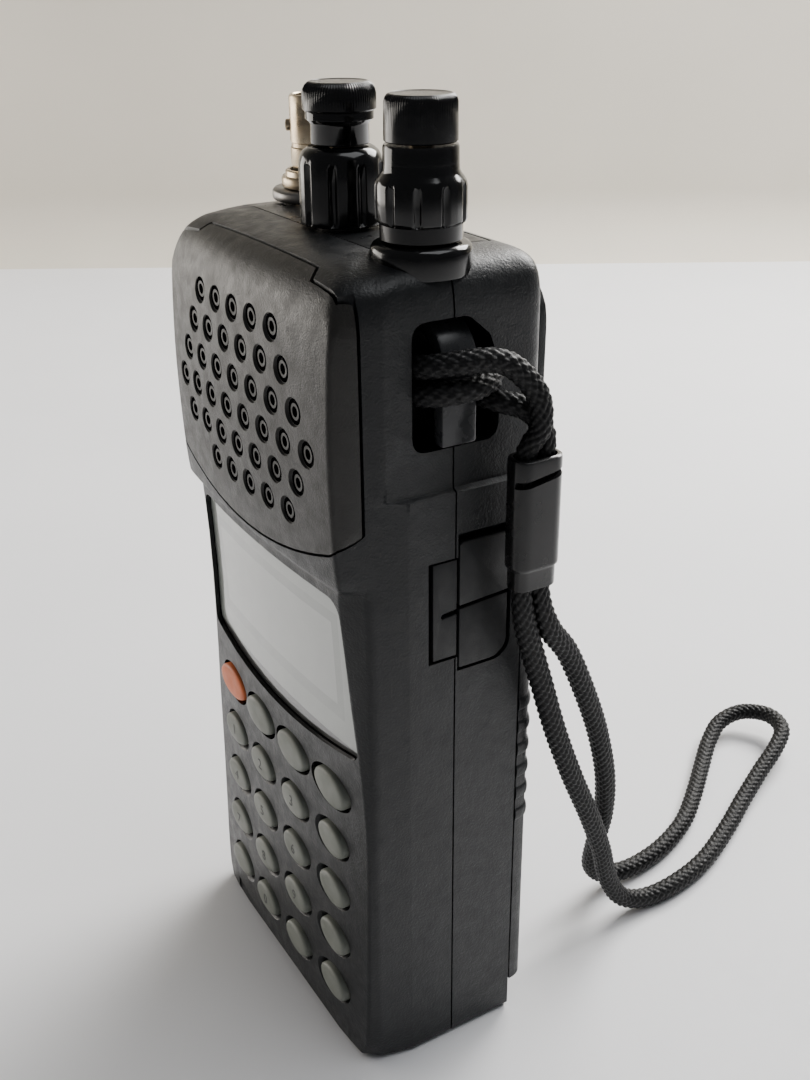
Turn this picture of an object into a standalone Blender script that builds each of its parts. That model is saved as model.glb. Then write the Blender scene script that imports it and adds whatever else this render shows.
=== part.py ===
"""Handheld airband radio with a wrist strap.

X runs to the right of the radio as its user sees it, -Y is its front and +Z is up.
The origin is on the face that it stands on. Lengths below are in millimetres, and MM
turns them into metres when a mesh is made.
"""

import math

import bmesh
import bpy
from mathutils import Matrix, Vector

MM = 0.001
GAP = 0.3

# Body: heights and half sizes
BODY_TOP = 144.8
SEAM_Y = 2.95
FACE_SAG = 0.0019
PAD_BACK_Y = -12.0
PAD_ARC_Z = 97.6
PAD_ARC_RISE = 0.0065
STEP_Z = 110.5

# Openings in the front
LCD_TOP_Z = 93.4
LCD_BOTTOM_Z = 62.4
LCD_TOP_HALF = 26.1
LCD_BOTTOM_HALF = 28.7
LENS_DEPTH = 0.95
KEY_PITCH_X = 13.4
KEY_ROWS_Z = (54.9, 44.0, 33.2, 22.4, 11.6)
KEY_HALF = (4.7, 2.95)

# Speaker holes: half the pitch along a row, the pitch of the rows and each row's columns
HOLE_HALF_PITCH = 3.335
HOLE_ROW_PITCH = 5.62
HOLE_TOP_Z = 134.4
HOLE_RADIUS = 1.15
HOLE_ROWS = (
    range(-4, 5, 2), range(-5, 6, 2), range(-6, 7, 2), range(-7, 8, 2), range(-6, 7, 2), range(-3, 6, 2),
)

# Knobs and aerial jack, as places on the top
LEFT_KNOB = (0.5, 2.0)
RIGHT_KNOB = (24.2, 2.0)
BNC_PLACE = (-22.5, 10.0)

# Strap eye and jacks, on the right side
EYE_OUTLINE = (
    (-2.2, 117.3), (9.0, 117.3), (10.4, 117.9), (11.0, 119.3), (11.0, 128.0), (10.3, 131.4), (8.6, 134.4),
    (6.6, 136.4), (3.4, 137.4), (-2.2, 137.4), (-3.6, 136.8), (-4.2, 135.4), (-4.2, 119.3), (-3.6, 117.9),
)
EYE_FLOOR_X = 24.4
BAR_Y = (0.4, 6.5)
JACK_FLOOR_X = 30.6
JACK_Y = 8.6
COM_Z = 95.8
DC_Z = 84.4
FLAP_HINGE_Y = 3.55

# Battery bay
DOOR_Y = 15.8
DOOR_Z = (6.8, 84.0)
CELL_COUNT = 5
CELL_RADIUS = 5.6
CELL_PITCH = 11.5
CELL_Y = 10.3
PACK_Z = (9.0, 62.0)

CORD_RADIUS = 1.6
SLEEVE_AT = (38.8, 12.7)
SLEEVE_Z = (95.0, 116.5)

PALETTE = {
    "black_plastic": ((0.022, 0.024, 0.026), 0.5, 0.0),
    "gloss_black": ((0.012, 0.012, 0.013), 0.25, 0.0),
    "key_rubber": ((0.42, 0.45, 0.40), 0.6, 0.0),
    "orange_rubber": ((0.75, 0.16, 0.04), 0.55, 0.0),
    "lens": ((0.55, 0.57, 0.56), 0.12, 0.0),
    "display": ((0.45, 0.48, 0.45), 0.4, 0.0),
    "board": ((0.02, 0.16, 0.06), 0.5, 0.0),
    "nickel": ((0.62, 0.55, 0.44), 0.32, 1.0),
    "steel": ((0.55, 0.56, 0.57), 0.35, 1.0),
    "rubber": ((0.02, 0.02, 0.021), 0.7, 0.0),
    "cord": ((0.015, 0.015, 0.016), 0.85, 0.0),
    "paper": ((0.06, 0.06, 0.06), 0.9, 0.0),
    "cell": ((0.16, 0.2, 0.32), 0.35, 0.2),
    "white_plastic": ((0.8, 0.79, 0.75), 0.5, 0.0),
}


def start():
    """Empties the scene and makes the two collections."""
    for old in list(bpy.data.objects):
        bpy.data.objects.remove(old, do_unlink=True)
    made = []
    for name in ("airband_radio", "cutters"):
        made.append(bpy.data.collections.new(name))
        bpy.context.scene.collection.children.link(made[-1])
    made[1].hide_render = True
    return made


PARTS, CUTTERS = start()


# ---------------------------------------------------------------- basic shapes


def box(low, high):
    """A box between two corners."""
    bm = bmesh.new()
    bmesh.ops.create_cube(bm, size=1)
    size = [h - w for w, h in zip(low, high)]
    middle = [(h + w) / 2 for w, h in zip(low, high)]
    bmesh.ops.transform(bm, matrix=Matrix.Translation(middle) @ Matrix.Diagonal((*size, 1)), verts=bm.verts)
    return bm


def turn_to(axis):
    """The rotation that takes +Z to an axis named x, y, -x, -y or z."""
    directions = {"x": (1, 0, 0), "-x": (-1, 0, 0), "y": (0, 1, 0), "-y": (0, -1, 0), "z": (0, 0, 1)}
    return Vector((0, 0, 1)).rotation_difference(Vector(directions[axis])).to_matrix().to_4x4()


def rod(start_point, length, radius, axis="z", sides=20, far_radius=None):
    """A cylinder or cone from a point along an axis."""
    bm = bmesh.new()
    far = radius if far_radius is None else far_radius
    bmesh.ops.create_cone(bm, cap_ends=True, segments=sides, radius1=radius, radius2=far, depth=length)
    matrix = Matrix.Translation(start_point) @ turn_to(axis) @ Matrix.Translation((0, 0, length / 2))
    bmesh.ops.transform(bm, matrix=matrix, verts=bm.verts)
    return bm


def take(obj, matrix=None):
    """The evaluated mesh of a helper object as welded bmesh; the helper is removed."""
    bpy.context.scene.collection.objects.link(obj)
    bpy.context.view_layer.update()
    graph = bpy.context.evaluated_depsgraph_get()
    mesh = bpy.data.meshes.new_from_object(obj.evaluated_get(graph))
    bm = bmesh.new()
    bm.from_mesh(mesh)
    bmesh.ops.remove_doubles(bm, verts=bm.verts, dist=0.002)
    if matrix is not None:
        bmesh.ops.transform(bm, matrix=matrix, verts=bm.verts)
    bpy.data.objects.remove(obj, do_unlink=True)
    bpy.data.meshes.remove(mesh)
    return bm


def turned(profile, at=(0, 0, 0), axis="z", sides=32, stretch=(1, 1)):
    """A profile of (radius, height) points, top to bottom down the outside, spun about its axis."""
    mesh = bpy.data.meshes.new("profile")
    points = [(r, 0, h) for r, h in profile]
    mesh.from_pydata(points, [(i, i + 1) for i in range(len(points) - 1)], [])
    obj = bpy.data.objects.new("profile", mesh)
    screw = obj.modifiers.new("spin", "SCREW")
    screw.steps = sides
    screw.render_steps = sides
    screw.use_merge_vertices = True
    screw.merge_threshold = 0.0001
    matrix = Matrix.Translation(at) @ turn_to(axis) @ Matrix.Diagonal((stretch[0], stretch[1], 1, 1))
    return take(obj, matrix)


def prism(outline, low, high, axis="z"):
    """A flat outline as a thick plate between two heights along an axis.

    For axis z the outline is (x, y), for y it is (x, z) and for x it is (y, z)."""
    curve = bpy.data.curves.new("outline", "CURVE")
    curve.dimensions = "2D"
    curve.fill_mode = "BOTH"
    curve.extrude = (high - low) / 2
    spline = curve.splines.new("POLY")
    spline.points.add(len(outline) - 1)
    for point, (u, v) in zip(spline.points, outline):
        point.co = (u, v, 0, 1)
    spline.use_cyclic_u = True
    lift = Matrix.Translation((0, 0, (low + high) / 2))
    frames = {
        "z": Matrix.Identity(4),
        "y": Matrix(((1, 0, 0, 0), (0, 0, 1, 0), (0, 1, 0, 0), (0, 0, 0, 1))),
        "x": Matrix(((0, 0, 1, 0), (1, 0, 0, 0), (0, 1, 0, 0), (0, 0, 0, 1))),
    }
    bm = take(bpy.data.objects.new("outline", curve), frames[axis] @ lift)
    bmesh.ops.recalc_face_normals(bm, faces=bm.faces)
    return bm


def loft(rings):
    """A closed skin over rings of equally many points, low to high, with a flat cap at each end."""
    bm = bmesh.new()
    rows = [[bm.verts.new(point) for point in ring] for ring in rings]
    count = len(rows[0])
    for low, high in zip(rows, rows[1:]):
        for i in range(count):
            j = (i + 1) % count
            bm.faces.new((low[i], low[j], high[j], high[i]))
    bm.faces.new(rows[0][::-1])
    bm.faces.new(rows[-1])
    bmesh.ops.recalc_face_normals(bm, faces=bm.faces)
    return bm


def joined(*pieces):
    """Several separate shapes as one mesh."""
    whole = bmesh.new()
    for piece in pieces:
        mesh = bpy.data.meshes.new("piece")
        piece.to_mesh(mesh)
        piece.free()
        whole.from_mesh(mesh)
        bpy.data.meshes.remove(mesh)
    return whole


# ---------------------------------------------------------------- objects


def part(name, bm, finish, smooth=35, centre=None):
    """A named sub-part with a material of its own. centre is its origin, on its joint's axis."""
    place = Vector(centre or (0, 0, 0)) * MM
    bmesh.ops.scale(bm, vec=(MM, MM, MM), verts=bm.verts)
    bmesh.ops.translate(bm, vec=-place, verts=bm.verts)
    mesh = bpy.data.meshes.new(name)
    bm.to_mesh(mesh)
    bm.free()
    mesh.shade_smooth()
    mesh.set_sharp_from_angle(angle=math.radians(smooth))
    obj = bpy.data.objects.new(name, mesh)
    obj.location = place
    PARTS.objects.link(obj)
    colour, roughness, metallic = PALETTE[finish]
    material = bpy.data.materials.new(name + "_finish")
    material.use_nodes = True
    shader = material.node_tree.nodes["Principled BSDF"]
    shader.inputs["Base Color"].default_value = (*colour, 1)
    shader.inputs["Roughness"].default_value = roughness
    shader.inputs["Metallic"].default_value = metallic
    mesh.materials.append(material)
    return obj


def shape(obj, operation, *pieces):
    """Cuts, joins or intersects an object with a tool made of separate shapes, and returns the tool."""
    tool = bpy.data.meshes.new(obj.name + "_tool")
    bm = joined(*pieces)
    bmesh.ops.scale(bm, vec=(MM, MM, MM), verts=bm.verts)
    bm.to_mesh(tool)
    bm.free()
    cutter = bpy.data.objects.new(f"{obj.name}_{operation.lower()}_{len(obj.modifiers)}", tool)
    cutter.hide_render = True
    cutter.display_type = "WIRE"
    CUTTERS.objects.link(cutter)
    modifier = obj.modifiers.new(operation.lower(), "BOOLEAN")
    modifier.operation = operation
    modifier.object = cutter
    modifier.solver = "EXACT"
    return cutter


def along(table, z):
    """A value read from (height, value) pairs with straight lines between them."""
    if z <= table[0][0]:
        return table[0][1]
    for (z0, v0), (z1, v1) in zip(table, table[1:]):
        if z <= z1:
            return v0 + (v1 - v0) * (z - z0) / (z1 - z0)
    return table[-1][1]


# ---------------------------------------------------------------- the body's form

FRONT_Y = (
    (0, -15.2), (1.2, -15.8), (5, -15.75), (12, -15.6), (22, -15.3), (44, -14.8), (58, -14.7), (95, -16.0),
    (97.3, -17.5), (105, -18.1), (118, -18.4),
    (134, -17.8), (139, -16.8), (141.5, -15.4), (143.5, -12.9), (144.4, -10.2), (BODY_TOP, -6.5),
)
FRONT_HALF = (
    (0, 27.6), (1.2, 29.0), (5, 30.6), (12, 31.0), (44, 31.0), (67, 29.0), (92, 26.6), (95, 26.6),
    (97.3, 29.3), (136, 29.3), (141, 27.6), (143.5, 25.2), (144.4, 22.6), (BODY_TOP, 19.0),
)
KNEE_X = (
    (0, 30.3), (1.2, 31.2), (5, 31.8), (40, 31.9), (92, 31.2), (97.3, 30.8), (136, 30.7), (141, 29.8),
    (143.5, 27.2), (BODY_TOP, 21.0),
)
KNEE_Y = ((0, -10.4), (1.2, -11.2), (5, -11.7), (97.3, -11.7), (141, -11.6), (143.5, -9.8), (BODY_TOP, -4.6))
SIDE = (
    (0, 31.5), (1.2, 32.5), (STEP_Z - 0.3, 32.5), (STEP_Z + 0.3, 31.6), (137, 31.6), (141, 31.1),
    (143.2, 29.8), (144.3, 27.3), (BODY_TOP, 22.5),
)
CORNER_Y = ((0, -5.5), (STEP_Z - 0.3, -5.5), (STEP_Z + 0.3, -9.0), (141, -8.6), (BODY_TOP, -2.5))
REAR_Y = ((0, 18.4), (1.2, 19.5), (139, 19.5), (142.4, 19.1), (143.8, 18.1), (144.5, 16.5), (BODY_TOP, 14.6))
BODY_STATIONS = (
    0, 1.2, 5, 12, 22, 44, 58, 67, 80, 92, 95, 97.3, 105, 110.2, 110.8, 118, 127, 134, 139, 141.2, 143.3,
    144.3, BODY_TOP,
)

# The hollow inside the shells
HOLLOW_FRONT_Y = (
    (2.2, -13.0), (8, -13.8), (22, -13.5), (44, -12.8), (58, -12.6), (92, -13.4), (96, -9.8), (141.2, -9.8),
)
HOLLOW_FRONT_HALF = ((2.2, 29.3), (60, 29.0), (92, 25.4), (96, 28.0), (137, 28.0), (141.2, 25.0))
HOLLOW_KNEE_X = ((2.2, 30.1), (40, 30.1), (92, 29.4), (97, 28.8), (137, 28.6), (141.2, 25.6))
HOLLOW_KNEE_Y = ((2.2, -10.9), (92, -11.0), (96, -9.0), (141.2, -9.0))
HOLLOW_SIDE = ((2.2, 30.5), (109, 30.5), (111, 29.6), (137, 29.6), (141.2, 27.0))
HOLLOW_CORNER_Y = ((2.2, -5.4), (92, -5.4), (97, -6.5), (141.2, -6.5))
HOLLOW_REAR_Y = ((2.2, 17.5), (138, 17.5), (141.2, 16.2))
HOLLOW_STATIONS = (2.2, 8, 22, 44, 58, 92, 96, 109, 111, 137, 141.2)


def rounded(corners, radii, steps):
    """An open path with its inner corners rounded, each by an arc of the given steps."""
    path = [corners[0]]
    for before, corner, after, radius in zip(corners, corners[1:], corners[2:], radii):
        corner = Vector(corner)
        inward, outward = Vector(before) - corner, Vector(after) - corner
        angle = inward.angle(outward)
        reach = min(radius / math.tan(angle / 2), 0.45 * inward.length, 0.45 * outward.length)
        a = corner + inward.normalized() * reach
        b = corner + outward.normalized() * reach
        for i in range(steps + 1):
            t = i / steps
            path.append(tuple(a * (1 - t) ** 2 + corner * 2 * t * (1 - t) + b * t**2))
    path.append(corners[-1])
    return path


def section(z, tables, steps=2, grow=0.0):
    """The body's outline at a height, all the way round from the middle of the front."""
    front, half, knee_x, knee_y, side, corner_y, rear = (along(table, z) for table in tables)
    front -= grow
    side += grow
    rear += grow
    edge = front + FACE_SAG * half * half
    corners = [
        (half / 2, front + FACE_SAG * half * half / 4),
        (half, edge),
        (knee_x + grow, knee_y),
        (side, corner_y),
        (side, rear),
        (0, rear),
    ]
    right = rounded(corners, (1.0, 2.5, 2.5, 3.6), steps)
    left = [(-x, y) for x, y in right[-2::-1]]
    return [(x, y, z) for x, y in [(0, front), *right, *left]]


BODY_TABLES = (FRONT_Y, FRONT_HALF, KNEE_X, KNEE_Y, SIDE, CORNER_Y, REAR_Y)
HOLLOW_TABLES = (
    HOLLOW_FRONT_Y, HOLLOW_FRONT_HALF, HOLLOW_KNEE_X, HOLLOW_KNEE_Y, HOLLOW_SIDE, HOLLOW_CORNER_Y,
    HOLLOW_REAR_Y,
)


def body_form():
    return loft([section(z, BODY_TABLES) for z in BODY_STATIONS])


def hollow_form():
    return loft([section(z, HOLLOW_TABLES) for z in HOLLOW_STATIONS])


def face_y(x, z):
    """How far forward the face is at a place on it."""
    return along(FRONT_Y, z) + FACE_SAG * x * x


def pad_plan(gap):
    """The speaker pad's space seen from above: it ends in a step near its two upper corners."""
    back, jog = PAD_BACK_Y + gap, PAD_BACK_Y - 1.8 + gap
    inner, outer = 20.6 + gap, 27.8 - gap
    right = [(33.5, -26), (33.5, back), (outer + 1.4, back), (outer, jog), (inner, jog), (inner - 1.4, back)]
    left = [(-x, y) for x, y in right[::-1]]
    return right + left


def pad_underside(gap):
    """The space below the pad's curved lower edge, which the pad's space leaves out."""
    arc = [(x, PAD_ARC_Z - gap + PAD_ARC_RISE * x * x) for x in range(-27, 28, 9)]
    ends = [(30.3, PAD_ARC_Z + 7.4 - gap), (31.2, PAD_ARC_Z + 9.6 - gap), (36, PAD_ARC_Z + 9.6 - gap)]
    left = [(-x, z) for x, z in ends[::-1]]
    return [*left, *arc, *ends, (36, 80), (-36, 80)]


def pad_space(gap):
    """The space that the speaker pad fills, as a tool object's shape."""
    return prism(pad_plan(gap), 90, 152)


def lcd_outline(margin):
    """The display window: wider at its foot, with flared sides and rounded lower corners."""
    flare = 0.9
    right = [
        (LCD_TOP_HALF - 3.0, LCD_TOP_Z + 0.3),
        (LCD_TOP_HALF - 0.8, LCD_TOP_Z - 0.6),
        (LCD_TOP_HALF, LCD_TOP_Z - 2.6),
        ((LCD_TOP_HALF + LCD_BOTTOM_HALF) / 2 + flare * 0.4, (LCD_TOP_Z + LCD_BOTTOM_Z) / 2),
        (LCD_BOTTOM_HALF, LCD_BOTTOM_Z + 3.5),
        (LCD_BOTTOM_HALF - 0.6, LCD_BOTTOM_Z + 1.6),
        (LCD_BOTTOM_HALF - 2.6, LCD_BOTTOM_Z + 0.6),
        (12, LCD_BOTTOM_Z),
    ]
    outline = right + [(-x, z) for x, z in right[::-1]]
    middle = (LCD_TOP_Z + LCD_BOTTOM_Z) / 2
    wider, taller = 1 + margin / LCD_TOP_HALF, 1 + margin / 15.5
    return [(x * wider, middle + (z - middle) * taller) for x, z in outline]


def key_places():
    """Each key's name and its middle on the face."""
    for row, z in enumerate(KEY_ROWS_Z, 1):
        for column in range(4):
            x = (column - 1.5) * KEY_PITCH_X
            name = "key_power" if (row, column) == (1, 0) else f"key_r{row}c{column + 1}"
            yield name, x, z


def hole_places():
    for row, columns in enumerate(HOLE_ROWS):
        for column in columns:
            yield column * HOLE_HALF_PITCH, HOLE_TOP_Z - row * HOLE_ROW_PITCH


def oval(half_x, half_z, x, z, low, high, sides=16):
    """An oval pin or hole through the face."""
    outline = []
    for i in range(sides):
        turn = 2 * math.pi * i / sides
        outline.append((x + half_x * math.cos(turn), z + half_z * math.sin(turn)))
    return prism(outline, low, high, "y")


def rounded_box_outline(u0, v0, u1, v1, radius, steps=3):
    """A rectangle with round corners."""
    outline = []
    low_u, high_u, low_v, high_v = u0 + radius, u1 - radius, v0 + radius, v1 - radius
    for u, v, first in ((high_u, high_v, 0), (low_u, high_v, 90), (low_u, low_v, 180), (high_u, low_v, 270)):
        for i in range(steps + 1):
            turn = math.radians(first + 90 * i / steps)
            outline.append((u + radius * math.cos(turn), v + radius * math.sin(turn)))
    return outline


# ---------------------------------------------------------------- shells


SCREWS = ((-18.5, 131.0), (18.5, 131.0))
SCREW_SEAT_Y = 17.4
EYE_BOSS = ((23.0, -5.6, 115.9), (31.2, 12.4, 138.6))
JACK_BOSS = ((28.6, -3.6, 77.4), (32.0, 15.3, 104.6))


def side_cuts():
    """What both shells lose together on the right side: the strap eye and the jack cover's well."""
    eye = prism(EYE_OUTLINE, EYE_FLOOR_X, 40, "x")
    well_outline = [
        (-2.0, 81.5), (3.4, 81.5), (3.4, 78.9), (10.6, 78.9), (12.6, 79.9), (13.6, 82.0), (13.6, 103.2),
        (3.4, 103.2), (3.4, 99.3), (-2.0, 99.3),
    ]
    well = prism(well_outline, JACK_FLOOR_X, 40, "x")
    com = rod((26, JACK_Y, COM_Z), 6, 3.2, "x", 16)
    dc = rod((26, JACK_Y, DC_Z), 6, 3.6, "x", 16)
    return eye, well, com, dc


def top_holes():
    left = rod((*LEFT_KNOB, 138), 10, 4.8, sides=20)
    right = rod((*RIGHT_KNOB, 138), 10, 4.8, sides=20)
    aerial = rod((*BNC_PLACE, 138), 10, 4.8, sides=20)
    return left, right, aerial


def panel_recess(gap):
    return box((-27.9 - gap, -2.9 - gap, 143.2 - gap), (22 + gap, 15.5 + gap, 150))


def make_front_shell():
    shell = part("front_shell", body_form(), "black_plastic")
    shape(shell, "DIFFERENCE", hollow_form())
    shape(shell, "UNION", box(*EYE_BOSS), box(*JACK_BOSS))
    for x, z in SCREWS:
        shape(shell, "UNION", rod((x, -10.6, z), 15, 3.2, "y", 12))
    shape(shell, "INTERSECT", box((-50, -40, -20), (50, SEAM_Y - GAP / 2, 180)))
    pad_cut = shape(shell, "DIFFERENCE", pad_space(GAP / 2))
    shape(pad_cut, "DIFFERENCE", prism(pad_underside(GAP / 2), -30, 0, "y"))
    shape(shell, "DIFFERENCE", prism(lcd_outline(0), -30, -11, "y"))
    shape(shell, "DIFFERENCE", box((-24.5, -22, -4), (24.5, -14.4, 3.8)))
    shape(shell, "DIFFERENCE", rod((0, -14, 118), 6, 17.2, "y", 28))
    wide, tall = KEY_HALF[0] + 0.35, KEY_HALF[1] + 0.35
    shape(shell, "DIFFERENCE", *[oval(wide, tall, x, z, -20, -10.9) for _, x, z in key_places()])
    for cut in side_cuts():
        shape(shell, "DIFFERENCE", cut)
    shape(shell, "DIFFERENCE", *top_holes())
    shape(shell, "DIFFERENCE", panel_recess(GAP / 2))
    slot = prism(rounded_box_outline(-4.6, 85, 1.2, 104, 2.6), -40, -27, "x")
    shape(shell, "DIFFERENCE", slot)
    shape(shell, "DIFFERENCE", *[rod((x, -2, z), 6, 1.25, "y", 8) for x, z in SCREWS])
    return shell


def make_rear_shell():
    shell = part("rear_shell", body_form(), "black_plastic")
    shape(shell, "DIFFERENCE", hollow_form())
    shape(shell, "UNION", box(*EYE_BOSS), box(*JACK_BOSS))
    shape(shell, "UNION", box((-31.2, 13.4, 69.0), (31.2, 17.9, 86.4)))
    shape(shell, "UNION", box((-31.2, 13.4, 1.2), (31.2, 17.9, 7.3)))
    shape(shell, "UNION", box((-31.2, 1.0, 1.0), (31.2, 4.3, 69.8)))
    shape(shell, "UNION", box((-31.2, 1.4, 68.2), (31.2, 17.6, 70.2)))
    for x, z in SCREWS:
        shape(shell, "UNION", rod((x, 3, z), 15.5, 3.2, "y", 12))
    shape(shell, "INTERSECT", box((-50, SEAM_Y + GAP / 2, -20), (50, 60, 180)))
    shape(shell, "DIFFERENCE", box((-40, DOOR_Y - GAP / 2, -5), (40, 40, DOOR_Z[1] + 0.35)))
    for cut in side_cuts():
        shape(shell, "DIFFERENCE", cut)
    shape(shell, "DIFFERENCE", *top_holes())
    shape(shell, "DIFFERENCE", panel_recess(GAP / 2))
    screw_holes = []
    for x, z in SCREWS:
        profile = [(0, 9), (2.6, 9), (2.6, 0), (1.6, 0), (1.6, -16), (0, -16)]
        screw_holes.append(turned(profile, (x, SCREW_SEAT_Y, z), "y", 12))
    shape(shell, "DIFFERENCE", *screw_holes)
    return shell


def make_pad():
    pad = part("speaker_grille", body_form(), "black_plastic")
    shape(pad, "INTERSECT", pad_space(-GAP / 2))
    shape(pad, "DIFFERENCE", prism(pad_underside(-GAP / 2), -30, 0, "y"))
    inner = [(-26, 103.8), (26, 103.8), (27, 106), (27, 138.4), (-27, 138.4), (-27, 106)]
    shape(pad, "DIFFERENCE", prism(inner, -15.6, -8, "y"))
    shape(pad, "DIFFERENCE", *[rod((x, -22, z), 8, HOLE_RADIUS, "y", 8) for x, z in hole_places()])
    cloth = prism([(-25.5, 104.3), (25.5, 104.3), (25.5, 137.9), (-25.5, 137.9)], -15.3, -14.9, "y")
    part("speaker_cloth", cloth, "paper")


def make_door():
    """The battery door: a slice of the body's own form with six grip ribs, hollowed from inside."""
    stations = [DOOR_Z[0], 40]
    for rib in range(6):
        foot = 44 + 4.6 * rib
        stations += [foot, foot + 0.5, foot + 2.0, foot + 2.5]
    stations.append(DOOR_Z[1])
    rings = []
    for z in stations:
        on_rib = any(abs(z - (44 + 4.6 * rib + 1.25)) < 1.0 for rib in range(6))
        rings.append(section(z, BODY_TABLES, 2, 0.4 if on_rib else 0.0))
    door = part("battery_door", loft(rings), "black_plastic")
    shape(door, "INTERSECT", box((-50, DOOR_Y + GAP / 2, 0), (50, 40, 120)))
    inner = [(-30.4, 10), (30.4, 10), (30.4, 16.6), (29.3, 17.7), (-29.3, 17.7), (-30.4, 16.6)]
    shape(door, "DIFFERENCE", prism(inner, DOOR_Z[0] + 1.6, DOOR_Z[1] - 1.6))


def make_panel():
    panel = part("knob_panel", body_form(), "gloss_black")
    shape(panel, "INTERSECT", panel_recess(-GAP / 2))
    shape(panel, "DIFFERENCE", *top_holes())


# ---------------------------------------------------------------- display and keys


def make_display():
    lens = part("lcd_lens", prism(lcd_outline(-0.3), -20, -12.2, "y"), "lens")
    sunk = body_form()
    bmesh.ops.translate(sunk, vec=(0, LENS_DEPTH, 0), verts=sunk.verts)
    shape(lens, "INTERSECT", sunk)
    part("lcd_module", box((-24.5, -11.9, 64), (24.5, -9.2, 91.5)), "display")
    part("logic_board", box((-27.5, -8.8, 5.2), (27.5, -7.6, 95)), "board")
    part("main_board", box((-27.5, -4.6, 5.2), (27.5, -3.4, 95)), "board")


def make_keys():
    """Twenty keys that share one mesh shape: an oval cap with a soft edge, and a flange behind the face."""
    front, flange, back = 0.8, -2.65, -3.3
    profile = [
        (0, front), (0.82, front - 0.05), (1.0, front - 0.45), (1.0, flange), (1.14, flange), (1.14, back),
        (0, back),
    ]
    for name, x, z in key_places():
        place = (x, face_y(x, z), z)
        cap = turned(profile, (0, 0, 0), "z", 14, KEY_HALF)
        turn = Matrix.Translation(place) @ Matrix.Rotation(math.radians(90), 4, "X")
        bmesh.ops.transform(cap, matrix=turn, verts=cap.verts)
        bmesh.ops.recalc_face_normals(cap, faces=cap.faces)
        part(name, cap, "orange_rubber" if name == "key_power" else "key_rubber", centre=place)


def make_speaker():
    profile = [(0, 1.2), (8.0, 1.2), (8.0, -3.2), (16.0, -6.2), (18.2, -6.2), (18.2, -7.2), (0, -7.2)]
    speaker = turned(profile, (0, -1.5, 118), "y", 24)
    part("speaker_driver", speaker, "steel")


# ---------------------------------------------------------------- knobs and aerial jack


def fluted(radius, depth, count, low, high, at):
    """A solid ring with shallow flutes down its side."""
    outline = []
    for i in range(count * 4):
        turn = 2 * math.pi * i / (count * 4)
        reach = radius if i % 4 in (0, 1) else radius - depth
        outline.append((at[0] + reach * math.cos(turn), at[1] + reach * math.sin(turn)))
    return prism(outline, low, high)


def make_knobs():
    x, y = LEFT_KNOB
    profile = [(0, 146.2), (4.4, 146.2), (4.4, 140.8), (6.4, 140.8), (6.4, 133), (0, 133)]
    control = part("left_control", turned(profile, (x, y, 0), sides=24), "nickel")
    shape(control, "DIFFERENCE", rod((x, y, 136), 20, 3.2, sides=16))
    ring = part("left_ring", fluted(6.65, 0.45, 8, 145.5, 155.8, (x, y)), "gloss_black", centre=(x, y, 147))
    rim = [(0, 157.0), (5.2, 157.0), (6.3, 156.2), (6.3, 150), (0, 150)]
    shape(ring, "UNION", turned(rim, (x, y, 0), sides=32))
    shape(ring, "DIFFERENCE", rod((x, y, 140), 9, 4.8, sides=20))
    shape(ring, "UNION", rod((x, y, 137), 14, 2.9, sides=16))
    shape(ring, "DIFFERENCE", rod((x, y, 130), 40, 2.0, sides=12))
    profile = [
        (0, 166.5), (4.4, 166.3), (5.3, 165.7), (5.66, 164.9), (5.66, 162.2), (5.25, 162.2), (5.25, 161.0),
        (4.55, 160.4), (4.55, 157.3), (0, 157.3),
    ]
    knob = part("left_knob", turned(profile, (x, y, 0), sides=36), "gloss_black", centre=(x, y, 157.3))
    shape(knob, "UNION", rod((x, y, 136.5), 23, 1.7, sides=12))

    x, y = RIGHT_KNOB
    control = part("right_control", box((x - 8.5, y - 6, 139.1), (x + 2.6, y + 4.4, 140.8)), "nickel")
    shape(control, "UNION", rod((x, y, 139.5), 7.2, 4.4, sides=20))
    shape(control, "DIFFERENCE", rod((x, y, 139.6), 20, 3.2, sides=16))
    collar = [(4.8, 146.6), (6.7, 146.6), (7.4, 145.9), (7.4, 145.0), (4.8, 145.0), (4.8, 146.6)]
    part("right_collar", turned(collar, (x, y, 0), sides=32), "gloss_black")
    ring = part("right_ring", fluted(6.6, 0.45, 8, 149.2, 155.4, (x, y)), "gloss_black", centre=(x, y, 147))
    profile = [
        (0, 159.9), (5.35, 159.9), (5.4, 156.4), (6.2, 155.8), (6.2, 150), (6.0, 149.6), (6.0, 146.9),
        (0, 146.9),
    ]
    shape(ring, "UNION", turned(profile, (x, y, 0), sides=32))
    shape(ring, "DIFFERENCE", rod((x, y, 140), 9, 4.8, sides=20))
    shape(ring, "UNION", rod((x, y, 140), 11, 2.9, sides=16))
    shape(ring, "DIFFERENCE", rod((x, y, 130), 40, 2.0, sides=12))
    profile = [(0, 166.6), (4.3, 166.5), (4.9, 166.1), (5.15, 165.5), (5.25, 160.2), (0, 160.2)]
    knob = part("right_knob", turned(profile, (x, y, 0), sides=36), "gloss_black", centre=(x, y, 160.2))
    shape(knob, "UNION", rod((x, y, 139.95), 22, 1.7, sides=12))


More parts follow.
